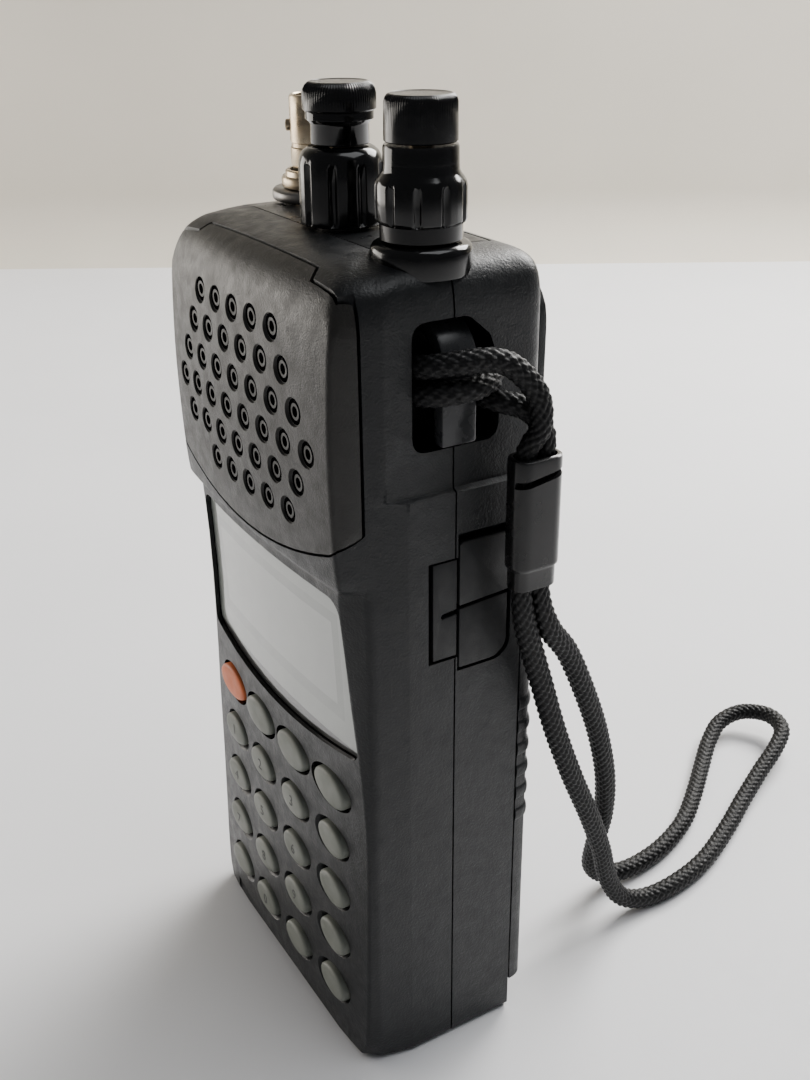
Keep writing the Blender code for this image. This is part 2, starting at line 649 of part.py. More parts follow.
def make_aerial_jack():
    x, y = BNC_PLACE
    barrel = [
        (4.05, 162.3), (4.8, 162.3), (4.8, 151.0), (4.5, 150.6), (4.5, 136.2), (2.4, 136.2), (2.4, 151.8),
        (4.05, 151.8), (4.05, 162.3),
    ]
    jack = part("bnc_jack", turned(barrel, (x, y, 0), sides=28), "nickel")
    turn = Matrix.Rotation(math.radians(-120), 4, "Z")
    aim = Matrix.Translation((x, y, 157.2)) @ turn @ Matrix.Translation((-x, -y, 0))
    for side in (1, -1):
        stud = rod((x + 4.4 * side, y, 0), 1.2, 1.0, "x" if side > 0 else "-x", 10)
        bmesh.ops.transform(stud, matrix=aim, verts=stud.verts)
        shape(jack, "UNION", stud)
    insulator = [(0.8, 158.8), (2.1, 158.8), (2.1, 137.0), (0.8, 137.0), (0.8, 158.8)]
    part("bnc_insulator", turned(insulator, (x, y, 0), sides=16), "white_plastic")
    part("bnc_contact", rod((x, y, 135), 23, 0.5, sides=10), "nickel")
    nut = part("bnc_nut", rod((x, y, 147.2), 2.8, 6.6, sides=24), "nickel")
    shape(nut, "DIFFERENCE", rod((x, y, 140), 20, 5.1, sides=24))
    washer = [(5.1, 146.9), (7.9, 146.9), (8.3, 146.5), (8.3, 145.1), (5.1, 145.1), (5.1, 146.9)]
    part("bnc_washer", turned(washer, (x, y, 0), sides=32), "steel")


# ---------------------------------------------------------------- right side


def make_strap_bar():
    """A flat bow that bridges the strap eye, with its foot and its head against the eye's walls."""
    outer = [
        (32.5, 117.7), (32.5, 124), (32.7, 129), (32.5, 130.7), (32.1, 132.0), (31.4, 133.1), (30.4, 134.1),
        (29.2, 134.9), (27.8, 135.5), (26.2, 135.9), (24.8, 136.1),
    ]
    inner = [(24.8, 134.0), (27.2, 133.4), (28.6, 132.4), (29.5, 131.2), (29.9, 129.6), (29.9, 117.7)]
    part("strap_bar", prism(outer + inner, BAR_Y[0], BAR_Y[1], "y"), "gloss_black")


def make_jack_cover():
    """One rubber moulding in three pieces: a fixed spine, and a flap over each jack on a thin hinge."""
    low_x, high_x = JACK_FLOOR_X + GAP, 32.4
    slit = [(3.3, 89.7), (0.5, 89.4), (0.5, 89.9), (3.3, 90.3)]
    spine = [(-1.6, 81.9), (3.3, 81.9), *slit, (3.3, 98.9), (-1.6, 98.9)]
    part("jack_cover_spine", prism(spine, low_x, high_x, "x"), "rubber")
    hinge = (high_x, FLAP_HINGE_Y)
    com = [(3.8, 90.6), (13.2, 91.2), (13.2, 101.6), (3.8, 101.6)]
    part("com_flap", prism(com, low_x, high_x, "x"), "rubber", centre=(*hinge, COM_Z))
    dc = [(3.8, 79.3), (10.4, 79.3), (12.2, 80.3), (13.2, 82.2), (13.2, 90.6), (3.8, 90.0)]
    part("dc_flap", prism(dc, low_x, high_x, "x"), "rubber", centre=(*hinge, DC_Z))
    jack = part("com_jack", rod((19, JACK_Y, COM_Z), 11.3, 2.9, "x", 20), "steel")
    shape(jack, "DIFFERENCE", rod((21, JACK_Y, COM_Z), 14, 1.8, "x", 16))
    jack = part("dc_jack", rod((19, JACK_Y, DC_Z), 11.3, 3.3, "x", 20), "rubber")
    shape(jack, "DIFFERENCE", rod((21, JACK_Y, DC_Z), 14, 2.6, "x", 16))
    shape(jack, "UNION", rod((20, JACK_Y, DC_Z), 8.5, 0.65, "x", 8))


def make_side_key():
    """A long key on the left side; a flange inside the wall keeps it in."""
    cap = prism(rounded_box_outline(-4.2, 85.4, 0.8, 103.6, 2.3), -33.4, -29.2, "x")
    key = part("side_key", cap, "rubber", centre=(-33.4, -1.7, 94.5))
    shape(key, "UNION", box((-30.1, -5.0, 84.6), (-29.2, 1.6, 104.4)))


# ---------------------------------------------------------------- back


def make_battery():
    """Cells side by side in one shrunk sleeve, with the block whose two springs press on it."""
    outline = []
    for side, cells in ((-90, range(CELL_COUNT)), (90, range(CELL_COUNT - 1, -1, -1))):
        for cell in cells:
            middle = (cell - (CELL_COUNT - 1) / 2) * CELL_PITCH
            for step in range(-3, 4):
                turn = math.radians(side + step * 22)
                outline.append((middle + CELL_RADIUS * math.cos(turn), CELL_Y + CELL_RADIUS * math.sin(turn)))
    part("battery_pack", prism(outline, *PACK_Z), "cell")
    plate = box((-12, 6.0, PACK_Z[1] + 2.6), (12, 13.0, PACK_Z[1] + 4.4))
    block = part("battery_terminals", plate, "white_plastic")
    for x in (-7, 7):
        shape(block, "UNION", rod((x, CELL_Y - 0.6, PACK_Z[1] + 0.4), 2.6, 1.5, sides=12, far_radius=2.8))


def make_clip():
    """A sprung belt clip: a bracket on the back, a pin through both, and a bowed plate."""
    base = part("clip_base", box((-10.5, 19.8, 117), (10.5, 21.4, 137)), "black_plastic")
    ears = [box((side * 8.6 - 1.2, 20.4, 124.5), (side * 8.6 + 1.2, 24.9, 130.2)) for side in (-1, 1)]
    shape(base, "UNION", *ears)
    shape(base, "DIFFERENCE", rod((-14, 23.2, 128), 28, 1.0, "x", 12))
    profile = [
        (27.0, 137.8), (28.2, 137.5), (29.0, 136.2), (29.5, 128), (29.1, 110), (26.6, 95), (23.4, 90.2),
        (20.9, 89.2), (20.0, 91.0), (20.6, 92.8), (22.6, 93.2), (24.6, 96), (27.1, 110), (27.5, 128),
        (27.3, 136.0),
    ]
    clip = part("belt_clip", prism(profile, -18.5, 18.5, "x"), "black_plastic", centre=(0, 23.2, 128))
    lugs = [box((side * 5.8 - 1.1, 22.0, 126.2), (side * 5.8 + 1.1, 28.4, 129.8)) for side in (-1, 1)]
    shape(clip, "UNION", *lugs)
    shape(clip, "DIFFERENCE", rod((-14, 23.2, 128), 28, 1.0, "x", 12))
    part("clip_pin", rod((-9.9, 23.2, 128), 19.8, 0.7, "x", 10), "steel")


def make_screws():
    for name, (x, z) in zip(("case_screw_left", "case_screw_right"), SCREWS):
        profile = [(0, 1.4), (1.8, 1.4), (2.2, 0.7), (2.2, 0), (0.95, 0), (0.95, -15.5), (0, -15.5)]
        screw = part(name, turned(profile, (x, SCREW_SEAT_Y + GAP, z), "y", 16), "steel")
        shape(screw, "DIFFERENCE", box((x - 1.3, SCREW_SEAT_Y + 1.0, z - 0.25), (x + 1.3, 22, z + 0.25)))
        shape(screw, "DIFFERENCE", box((x - 0.25, SCREW_SEAT_Y + 1.0, z - 1.3), (x + 0.25, 22, z + 1.3)))


# ---------------------------------------------------------------- wrist strap


def smooth_route(points, spacing):
    """Points read at even steps from a Catmull-Rom curve through hand-chosen ones."""
    points = [Vector(point) for point in points]
    ends = [points[0] * 2 - points[1], *points, points[-1] * 2 - points[-2]]
    fine = []
    for a, b, c, d in zip(ends, ends[1:], ends[2:], ends[3:]):
        for i in range(24):
            t = i / 24
            bend = (a * 2 - b * 5 + c * 4 - d) * t**2 + (b * 3 - a - c * 3 + d) * t**3
            fine.append((b * 2 + (c - a) * t + bend) / 2)
    fine.append(points[-1])
    lengths = [0.0]
    for a, b in zip(fine, fine[1:]):
        lengths.append(lengths[-1] + (b - a).length)
    count = max(2, round(lengths[-1] / spacing))
    route = []
    at = 0
    for i in range(count + 1):
        want = lengths[-1] * i / count
        while at < len(fine) - 2 and lengths[at + 1] < want:
            at += 1
        share = (want - lengths[at]) / max(lengths[at + 1] - lengths[at], 1e-9)
        route.append(fine[at].lerp(fine[at + 1], share))
    return route


# From inside the sleeve, one and a half turns round the strap bar and back into the sleeve.
EYE_CORD_ROUTE = (
    (38.8, 11.0, 106.2), (38.8, 11.0, 111.5), (38.8, 11.1, 117.0), (39.6, 12.9, 121.0), (39.3, 12.3, 126.0),
    (38.2, 9.0, 130.2), (37.0, 5.6, 131.6), (35.4, 1.6, 131.4), (32.8, -1.6, 130.7), (29.6, -2.2, 129.9),
    (27.1, -0.2, 129.2), (26.4, 3.4, 128.6), (27.4, 7.2, 128.1), (30.4, 8.8, 127.8), (33.8, 7.8, 127.6),
    (35.4, 4.0, 127.3), (34.8, 0.6, 127.0), (32.6, -1.8, 126.5), (29.6, -2.2, 125.9), (27.1, -0.2, 125.2),
    (26.4, 3.4, 124.6), (27.2, 7.0, 124.2), (30.2, 8.6, 124.0), (33.8, 9.8, 123.8), (36.7, 12.6, 122.8),
    (38.5, 14.4, 119.6), (38.8, 14.4, 115.5), (38.8, 14.4, 111.0), (38.8, 14.4, 106.2),
)
# From the sleeve down to the table behind the radio, round the wrist loop and back up into the sleeve.
WRIST_CORD_ROUTE = (
    (38.8, 11.0, 105.6), (38.8, 11.0, 99.0), (38.7, 11.3, 92.0), (37.6, 13.8, 84.0), (36.4, 17.6, 74.0),
    (35.0, 22.2, 62.0), (33.0, 28.2, 49.0), (30.8, 34.6, 36.5), (28.2, 40.4, 24.5), (25.6, 45.0, 13.5),
    (24.6, 49.8, 5.6), (24.9, 56.0, 2.4), (24.9, 64.5, 2.1), (22.5, 75.5, 2.1), (17.1, 87.5, 2.1),
    (11.4, 98.4, 2.6), (6.4, 108.8, 3.6), (2.4, 118.0, 4.8), (-1.9, 124.3, 5.6), (-8.0, 125.7, 5.8),
    (-13.2, 121.7, 5.2), (-13.7, 114.8, 4.2), (-9.9, 107.5, 3.0), (-3.7, 99.4, 2.3), (3.3, 90.5, 2.1),
    (9.9, 81.0, 2.1), (14.2, 70.6, 2.1), (16.0, 60.6, 2.3), (16.0, 53.0, 3.8), (17.6, 47.6, 9.6),
    (20.9, 45.2, 18.5), (25.0, 43.2, 30.0), (28.8, 39.6, 42.5), (31.6, 34.8, 55.0), (34.2, 29.2, 66.5),
    (36.6, 22.6, 78.5), (38.2, 17.0, 86.0), (38.8, 14.4, 94.0), (38.8, 14.4, 105.6),
)


def make_cord(name, route, spacing, swell):
    """A round cord with closed ends that swells below the sleeve, which squeezes it."""
    curve = bpy.data.curves.new(name, "CURVE")
    curve.dimensions = "3D"
    curve.bevel_depth = CORD_RADIUS * MM
    curve.bevel_resolution = 2
    curve.use_fill_caps = True
    points = smooth_route(route, spacing)
    spline = curve.splines.new("POLY")
    spline.points.add(len(points) - 1)
    for point, place in zip(spline.points, points):
        point.co = (*(place * MM), 1)
        point.radius = 1 + swell * min(1, max(0, SLEEVE_Z[0] - place.z) / 10)
    obj = bpy.data.objects.new(name, curve)
    PARTS.objects.link(obj)
    colour, roughness, metallic = PALETTE["cord"]
    material = bpy.data.materials.new(name + "_finish")
    material.use_nodes = True
    shader = material.node_tree.nodes["Principled BSDF"]
    shader.inputs["Base Color"].default_value = (*colour, 1)
    shader.inputs["Roughness"].default_value = roughness
    shader.inputs["Metallic"].default_value = metallic
    curve.materials.append(material)


def make_sleeve():
    x, y = SLEEVE_AT
    outer = rounded_box_outline(x - 2.6, y - 4.3, x + 2.6, y + 4.3, 2.2, 3)
    inner = rounded_box_outline(x - 1.85, y - 3.55, x + 1.85, y + 3.55, 1.6, 3)
    foot = rounded_box_outline(x - 2.3, y - 3.95, x + 2.3, y + 3.95, 1.9, 3)
    sleeve = part("strap_sleeve", prism(outer, SLEEVE_Z[0] + 3.6, SLEEVE_Z[1]), "gloss_black")
    shape(sleeve, "UNION", prism(foot, SLEEVE_Z[0], SLEEVE_Z[0] + 4.2))
    shape(sleeve, "DIFFERENCE", prism(inner, 80, 130))


def main():
    make_front_shell()
    make_rear_shell()
    make_pad()
    make_door()
    make_panel()
    make_display()
    make_keys()
    make_speaker()
    make_knobs()
    make_aerial_jack()
    make_strap_bar()
    make_jack_cover()
    make_side_key()
    make_battery()
    make_clip()
    make_screws()
    make_cord("eye_cord", EYE_CORD_ROUTE, 2.4, 0)
    make_cord("wrist_cord", WRIST_CORD_ROUTE, 6.2, 0.25)
    make_sleeve()


main()
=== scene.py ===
"""Looks of the handheld airband radio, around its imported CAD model. Shapes are made in
millimetres, in the radio's own frame, and MM turns them into metres."""

import math

import bmesh
import bpy
import numpy as np
from mathutils import Matrix, Vector


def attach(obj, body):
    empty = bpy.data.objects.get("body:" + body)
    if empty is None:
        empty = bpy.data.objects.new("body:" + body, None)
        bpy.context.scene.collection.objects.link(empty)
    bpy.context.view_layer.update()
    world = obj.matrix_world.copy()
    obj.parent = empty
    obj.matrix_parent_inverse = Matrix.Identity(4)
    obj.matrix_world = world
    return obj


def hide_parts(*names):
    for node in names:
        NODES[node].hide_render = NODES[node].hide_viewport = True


MM = 0.001
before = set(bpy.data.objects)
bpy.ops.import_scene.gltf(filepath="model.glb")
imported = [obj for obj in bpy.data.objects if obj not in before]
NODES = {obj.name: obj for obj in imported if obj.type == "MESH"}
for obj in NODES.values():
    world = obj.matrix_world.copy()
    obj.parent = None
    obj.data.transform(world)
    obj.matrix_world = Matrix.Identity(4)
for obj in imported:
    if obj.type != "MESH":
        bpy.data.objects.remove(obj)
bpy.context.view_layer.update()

# ---------------------------------------------------------------- camera and stage

CAMERA_AT = (176.94, -91.94, 184.02)
CAMERA_TURN = (59.284, 25.285, -0.560)
LENS = 41.613
WALL_REACH = 805
WALL_BEND = 40


def make_camera():
    yaw, pitch, roll = (math.radians(v) for v in CAMERA_TURN)
    forward = Vector((-math.sin(yaw) * math.cos(pitch), math.cos(yaw) * math.cos(pitch), -math.sin(pitch)))
    flat_right = forward.cross(Vector((0, 0, 1))).normalized()
    flat_up = flat_right.cross(forward)
    right = math.cos(roll) * flat_right + math.sin(roll) * flat_up
    up = -math.sin(roll) * flat_right + math.cos(roll) * flat_up
    data = bpy.data.cameras.new("camera")
    data.lens = LENS
    data.sensor_width = 36
    data.clip_start = 0.01
    camera = bpy.data.objects.new("camera", data)
    turn = Matrix((right, up, -forward)).transposed().to_4x4()
    camera.matrix_world = Matrix.Translation(Vector(CAMERA_AT) * MM) @ turn
    bpy.context.scene.collection.objects.link(camera)
    bpy.context.scene.camera = camera


def area_light(name, at, size, power, colour=(1, 1, 1), aim=(0, 0, 80)):
    data = bpy.data.lights.new(name, "AREA")
    data.shape = "RECTANGLE"
    data.size, data.size_y = (length * MM for length in size)
    data.energy = power
    data.color = colour
    light = bpy.data.objects.new(name, data)
    light.location = Vector(at) * MM
    light.rotation_mode = "QUATERNION"
    light.rotation_quaternion = (Vector(aim) - Vector(at)).to_track_quat("-Z", "Y")
    bpy.context.scene.collection.objects.link(light)


def sheet(name, line, material):
    """A wide sheet through (reach, height) points ahead of the camera."""
    yaw = math.radians(CAMERA_TURN[0])
    ahead = Vector((-math.sin(yaw), math.cos(yaw), 0))
    across = Vector((ahead.y, -ahead.x, 0))
    start = Vector((CAMERA_AT[0], CAMERA_AT[1], 0))
    bm = bmesh.new()
    rows = []
    for reach, height in line:
        middle = start + ahead * reach + Vector((0, 0, height))
        rows.append([bm.verts.new((middle + across * side) * MM) for side in (-2500, 2500)])
    for low, high in zip(rows, rows[1:]):
        bm.faces.new((low[0], low[1], high[1], high[0]))
    mesh = bpy.data.meshes.new(name)
    bm.to_mesh(mesh)
    bm.free()
    mesh.shade_smooth()
    mesh.materials.append(material)
    obj = bpy.data.objects.new(name, mesh)
    bpy.context.scene.collection.objects.link(obj)


def make_stage():
    """A pale floor and, far behind the radio as the camera sees it, a slightly warmer backdrop."""
    floor_card = finish("floor_card", (0.80, 0.80, 0.815), 0.62, grain=(900, 0.05, 0.0001), mottle=(9, 0.02))
    wall_card = finish("backdrop_card", (0.66, 0.615, 0.53), 0.8, grain=(500, 0.05, 0.0001), mottle=(7, 0.03))
    sheet("floor", [(-1800, 0), (WALL_REACH, 0)], floor_card)
    bend = []
    for i in range(10):
        t = math.radians(10 * i)
        bend.append((WALL_REACH + WALL_BEND * math.sin(t), WALL_BEND - WALL_BEND * math.cos(t)))
    sheet("backdrop", [*bend, (846, 600), (850, 1500)], wall_card)
    world = bpy.data.worlds.new("world")
    world.use_nodes = True
    background = world.node_tree.nodes["Background"]
    background.inputs["Color"].default_value = (0.93, 0.95, 1.0, 1)
    background.inputs["Strength"].default_value = 0.15
    bpy.context.scene.world = world
    area_light("window_behind", (-240, 620, 560), (620, 330), 17.0, (1.0, 0.985, 0.96))
    area_light("ceiling", (250, 260, 1100), (700, 700), 5.2, (0.96, 0.98, 1.0))
    area_light("room_left", (-620, -400, 170), (520, 300), 3.4, (1.0, 0.95, 0.88), (0, 0, 60))


# ---------------------------------------------------------------- materials


class Graph:
    """A short way to add and link shader nodes."""

    def __init__(self, name):
        self.material = bpy.data.materials.new(name)
        self.material.use_nodes = True
        self.tree = self.material.node_tree
        self.shader = self.tree.nodes["Principled BSDF"]
        self.place = self.node("ShaderNodeTexCoord").outputs["Object"]

    def node(self, kind, **values):
        node = self.tree.nodes.new(kind)
        for key, value in values.items():
            if hasattr(node, key):
                setattr(node, key, value)
            else:
                node.inputs[key].default_value = value
        return node

    def link(self, start, end):
        self.tree.links.new(start, end)

    def noise(self, scale, detail=2.0, roughness=0.5):
        node = self.node("ShaderNodeTexNoise", Scale=scale, Detail=detail, Roughness=roughness)
        self.link(self.place, node.inputs["Vector"])
        return node.outputs["Fac"]

    def ramp(self, value, low, high, start=0.0, end=1.0):
        """value from low to high becomes start to end."""
        node = self.node("ShaderNodeMapRange")
        for key, number in zip(("From Min", "From Max", "To Min", "To Max"), (low, high, start, end)):
            node.inputs[key].default_value = number
        self.link(value, node.inputs["Value"])
        return node.outputs["Result"]

    def maths(self, operation, a, b=None):
        node = self.node("ShaderNodeMath", operation=operation)
        for socket, value in zip(node.inputs, (a, b)):
            if isinstance(value, (int, float)):
                socket.default_value = value
            elif value is not None:
                self.link(value, socket)
        return node.outputs[0]

    def blend(self, share, first, second):
        """A colour between two, each a tuple or a socket."""
        node = self.node("ShaderNodeMix", data_type="RGBA")
        self.link(share, node.inputs["Factor"])
        for socket, colour in ((node.inputs[6], first), (node.inputs[7], second)):
            if isinstance(colour, tuple):
                socket.default_value = (*colour, 1)
            else:
                self.link(colour, socket)
        return node.outputs[2]

    def bump(self, height, strength, distance):
        node = self.node("ShaderNodeBump", Strength=strength, Distance=distance)
        self.link(height, node.inputs["Height"])
        return node.outputs["Normal"]

    def set(self, **values):
        for key, value in values.items():
            socket = self.shader.inputs[key.replace("_", " ")]
            if isinstance(value, (int, float)):
                socket.default_value = value
            elif isinstance(value, tuple):
                socket.default_value = (*value, 1)
            else:
                self.link(value, socket)


def finish(
    name, colour, roughness, metallic=0.0, grain=None, mottle=(60, 0.12), uneven=0.08, edge=None, tint=None
):
    """A moulded, turned or plated surface.

    grain is (scale, strength, depth), mottle is (scale, share), uneven is how much the roughness
    varies, edge is how light worn edges get, and tint is a second colour for the mottling."""
    g = Graph(name)
    cloud = g.ramp(g.noise(mottle[0], 4), 0.35, 0.65)
    share = mottle[1]
    pale = tint or tuple(min(1, c * (1 + share)) for c in colour)
    base = g.blend(cloud, tuple(c * (1 - share) for c in colour), pale)
    if edge:
        wear = g.ramp(g.node("ShaderNodeNewGeometry").outputs["Pointiness"], 0.53, 0.62, 0, edge)
        worn = tuple(min(1, c * 2 + 0.1) for c in colour)
        base = g.blend(g.maths("MULTIPLY", wear, g.noise(700, 3)), base, worn)
    g.set(Base_Color=base, Metallic=metallic, Specular_IOR_Level=0.5 if metallic else 0.36)
    speck = g.noise(420, 3)
    g.set(Roughness=g.ramp(speck, 0.3, 0.7, max(0.02, roughness - uneven), min(1, roughness + uneven)))
    if grain:
        scale, strength, depth = grain
        fine = g.noise(scale, 3, 0.6)
        coarse = g.noise(scale * 0.35, 2)
        g.set(Normal=g.bump(g.maths("ADD", fine, g.maths("MULTIPLY", coarse, 0.6)), strength, depth))
    return g.material


FINISHES = {
    "case_plastic": dict(
        colour=(0.0056, 0.0064, 0.0074), roughness=0.41, edge=0.2,
        grain=(2600, 0.7, 0.00014), mottle=(140, 0.08),
    ),
    "pad_plastic": dict(
        colour=(0.0130, 0.0120, 0.0104), roughness=0.44, edge=0.2,
        grain=(3600, 0.7, 0.00012), mottle=(160, 0.05),
    ),
    # The pad's holes: a near-black gloss, three times darker than the pad, partly their own gloss and partly
    # painted shade inside them.
    "hole_gloss_and_shade": dict(colour=(0.004, 0.004, 0.0045), roughness=0.22, mottle=(90, 0.2)),
    "panel_plastic": dict(
        colour=(0.0065, 0.007, 0.0078), roughness=0.32, grain=(1800, 0.2, 0.00006), mottle=(40, 0.2),
    ),
    "knob_gloss": dict(
        colour=(0.0022, 0.0022, 0.0024), roughness=0.13, edge=0.2,
        grain=(500, 0.05, 0.00005), mottle=(80, 0.3),
    ),
    "sleeve_gloss": dict(
        colour=(0.006, 0.006, 0.0062), roughness=0.22, grain=(350, 0.12, 0.0001), mottle=(120, 0.3),
    ),
    # The bar is black plastic. Its base colour, about four times lighter than the case's, is painted light
    # standing in for the light on its top.
    "bar_plastic_painted_light": dict(
        colour=(0.022, 0.023, 0.025), roughness=0.3, edge=0.3,
        grain=(900, 0.1, 0.00006), mottle=(120, 0.2),
    ),
    "cover_rubber": dict(
        colour=(0.0085, 0.009, 0.0098), roughness=0.50, grain=(3400, 0.4, 0.00008), mottle=(60, 0.15),
    ),
    "key_rubber": dict(
        colour=(0.150, 0.160, 0.136), roughness=0.50, tint=(0.178, 0.187, 0.162),
        grain=(1600, 0.12, 0.00006), mottle=(150, 0.08),
    ),
    "orange_rubber": dict(
        colour=(0.60, 0.135, 0.035), roughness=0.46, grain=(1600, 0.12, 0.00006), mottle=(150, 0.1),
    ),
    "key_ink": dict(colour=(0.05, 0.052, 0.05), roughness=0.6, mottle=(400, 0.2)),
    "aged_nickel": dict(
        colour=(0.43, 0.34, 0.23), roughness=0.30, metallic=1.0, tint=(0.54, 0.45, 0.32), uneven=0.1,
        grain=(900, 0.1, 0.00004), mottle=(260, 0.12),
    ),
    "dull_bushing": dict(colour=(0.10, 0.095, 0.09), roughness=0.38, metallic=1.0, mottle=(260, 0.12)),
    "washer_steel": dict(
        colour=(0.20, 0.19, 0.18), roughness=0.36, metallic=1.0, uneven=0.1,
        grain=(700, 0.15, 0.00004), mottle=(220, 0.12),
    ),
    "board_green": dict(colour=(0.015, 0.11, 0.045), roughness=0.42, mottle=(200, 0.3)),
    "insulator": dict(colour=(0.74, 0.72, 0.66), roughness=0.45, mottle=(120, 0.06)),
    "cell_film": dict(colour=(0.11, 0.15, 0.27), roughness=0.3, mottle=(60, 0.15)),
    "speaker_cloth": dict(colour=(0.02, 0.02, 0.02), roughness=0.9, grain=(3000, 0.8, 0.0002)),
}


def display_finish():
    """The display: a pale panel in a darker frame and a mid-tone border, over a black foot."""
    g = Graph("lcd_print")
    split = g.node("ShaderNodeSeparateXYZ")
    g.link(g.place, split.inputs[0])
    x, z = split.outputs["X"], split.outputs["Z"]
    soft = 0.00012

    def between(value, low, high):
        rise = g.ramp(value, low - soft, low + soft)
        fall = g.ramp(value, high + soft, high - soft)
        return g.maths("MULTIPLY", rise, fall)

    def within(low_x, high_x, low_z, high_z):
        return g.maths("MULTIPLY", between(x, low_x, high_x), between(z, low_z, high_z))

    cloud = g.noise(45, 2)
    border = g.blend(cloud, (0.215, 0.235, 0.215), (0.25, 0.268, 0.248))
    frame_tone = g.blend(cloud, (0.175, 0.19, 0.175), (0.20, 0.216, 0.20))
    panel_tone = g.blend(cloud, (0.27, 0.285, 0.27), (0.305, 0.318, 0.303))
    base = g.blend(within(-0.0236, 0.0240, 0.0700, 0.0901), border, frame_tone)
    base = g.blend(within(-0.0215, 0.0220, 0.0725, 0.0880), base, panel_tone)
    base = g.blend(within(-0.0282, 0.0276, 0.0655, 0.0980), (0.004, 0.004, 0.0042), base)
    g.set(Base_Color=base, Coat_Weight=1.0, Coat_Roughness=0.04)
    g.set(Roughness=g.ramp(g.noise(300, 2), 0.3, 0.7, 0.30, 0.38))
    return g.material


def braid_finish():
    g = Graph("cord_braid")
    base = g.blend(g.noise(1500, 3), (0.0010, 0.0010, 0.0012), (0.0042, 0.0043, 0.0048))
    glint = g.ramp(g.noise(2600, 2), 0.3, 0.7, 0.34, 0.66)
    g.set(Base_Color=base, Roughness=glint, Specular_IOR_Level=0.26)
    g.set(Normal=g.bump(g.noise(6000, 2), 0.5, 0.00010))
    return g.material


def knob_top_finish(name, centre):
    """Gloss black with fine rings turned into its flat top."""
    g = Graph(name)
    split = g.node("ShaderNodeSeparateXYZ")
    g.link(g.place, split.inputs[0])
    dx = g.maths("SUBTRACT", split.outputs["X"], centre[0] * MM)
    dy = g.maths("SUBTRACT", split.outputs["Y"], centre[1] * MM)
    radius = g.maths("SQRT", g.maths("ADD", g.maths("MULTIPLY", dx, dx), g.maths("MULTIPLY", dy, dy)))
    rings = g.maths("SINE", g.maths("MULTIPLY", radius, 16000.0))
    base = g.blend(g.noise(300, 3), (0.0016, 0.0016, 0.0018), (0.0032, 0.0032, 0.0035))
    g.set(Base_Color=base, Roughness=g.ramp(g.noise(900, 3), 0.3, 0.7, 0.16, 0.28), Specular_IOR_Level=0.34)
    g.set(Normal=g.bump(g.maths("ADD", rings, g.noise(2500, 2)), 0.08, 0.00002))
    return g.material


# ---------------------------------------------------------------- shape helpers


def along(table, z):
    """A value read from (height, value) pairs on a smooth curve that never overshoots them."""
    if z <= table[0][0]:
        return table[0][1]
    if z >= table[-1][0]:
        return table[-1][1]
    slopes = [(b[1] - a[1]) / (b[0] - a[0]) for a, b in zip(table, table[1:])]
    tangents = [slopes[0]]
    for a, b in zip(slopes, slopes[1:]):
        tangents.append(0.0 if a * b <= 0 else 2 * a * b / (a + b))
    tangents.append(slopes[-1])
    i = next(i for i, (height, _) in enumerate(table[1:]) if z <= height)
    (z0, v0), (z1, v1) = table[i], table[i + 1]
    h = z1 - z0
    t = (z - z0) / h
    return (
        v0 * (1 + 2 * t) * (1 - t) ** 2
        + tangents[i] * h * t * (1 - t) ** 2
        + v1 * t * t * (3 - 2 * t)
        + tangents[i + 1] * h * t * t * (t - 1)
    )


def box(low, high):
    bm = bmesh.new()
    bmesh.ops.create_cube(bm, size=1)
    size = [h - w for w, h in zip(low, high)]
    middle = [(h + w) / 2 for w, h in zip(low, high)]
    bmesh.ops.transform(bm, matrix=Matrix.Translation(middle) @ Matrix.Diagonal((*size, 1)), verts=bm.verts)
    return bm


def turn_to(axis):
    directions = {"x": (1, 0, 0), "-x": (-1, 0, 0), "y": (0, 1, 0), "-y": (0, -1, 0), "z": (0, 0, 1)}
    return Vector((0, 0, 1)).rotation_difference(Vector(directions[axis])).to_matrix().to_4x4()


def loft(rings, closed=False):
    """A skin over rings of equally many points. closed joins the last ring to the first."""
    bm = bmesh.new()
    rows = [[bm.verts.new(point) for point in ring] for ring in rings]
    count = len(rows[0])
    pairs = list(zip(rows, rows[1:]))
    if closed:
        pairs.append((rows[-1], rows[0]))
    for low, high in pairs:
        for i in range(count):
            j = (i + 1) % count
            bm.faces.new((low[i], low[j], high[j], high[i]))
    if not closed:
        bm.faces.new(rows[0][::-1])
        bm.faces.new(rows[-1])
    bmesh.ops.recalc_face_normals(bm, faces=bm.faces)
    return bm


def turned(profile, at=(0, 0, 0), axis="z", sides=64, reach=None, hollow=False):
    """(radius, height) points spun about an axis. reach(angle, radius, height) may shape the radius."""
    rings = []
    for radius, height in profile:
        ring = []
        for i in range(sides):
            angle = 2 * math.pi * i / sides
            r = reach(angle, radius, height) if reach else radius
            ring.append((r * math.cos(angle), r * math.sin(angle), height))
        rings.append(ring)
    bm = loft(rings, closed=hollow)
    bmesh.ops.transform(bm, matrix=Matrix.Translation(at) @ turn_to(axis), verts=bm.verts)
    return bm


def rod(start, length, radius, axis="z", sides=32):
    return turned([(radius, 0), (radius, length)], start, axis, sides)


def prism(outline, low, high, axis="z"):
    """A flat outline made thick. For axis z it is (x, y), for y it is (x, z) and for x it is (y, z)."""
    places = {
        "z": lambda u, v, w: (u, v, w),
        "y": lambda u, v, w: (u, w, v),
        "x": lambda u, v, w: (w, u, v),
    }
    return loft([[places[axis](u, v, w) for u, v in outline] for w in (low, high)])


def joined(*pieces):
    whole = bmesh.new()
    for piece in pieces:
        mesh = bpy.data.meshes.new("piece")
        piece.to_mesh(mesh)
        piece.free()
        whole.from_mesh(mesh)
        bpy.data.meshes.remove(mesh)
    return whole


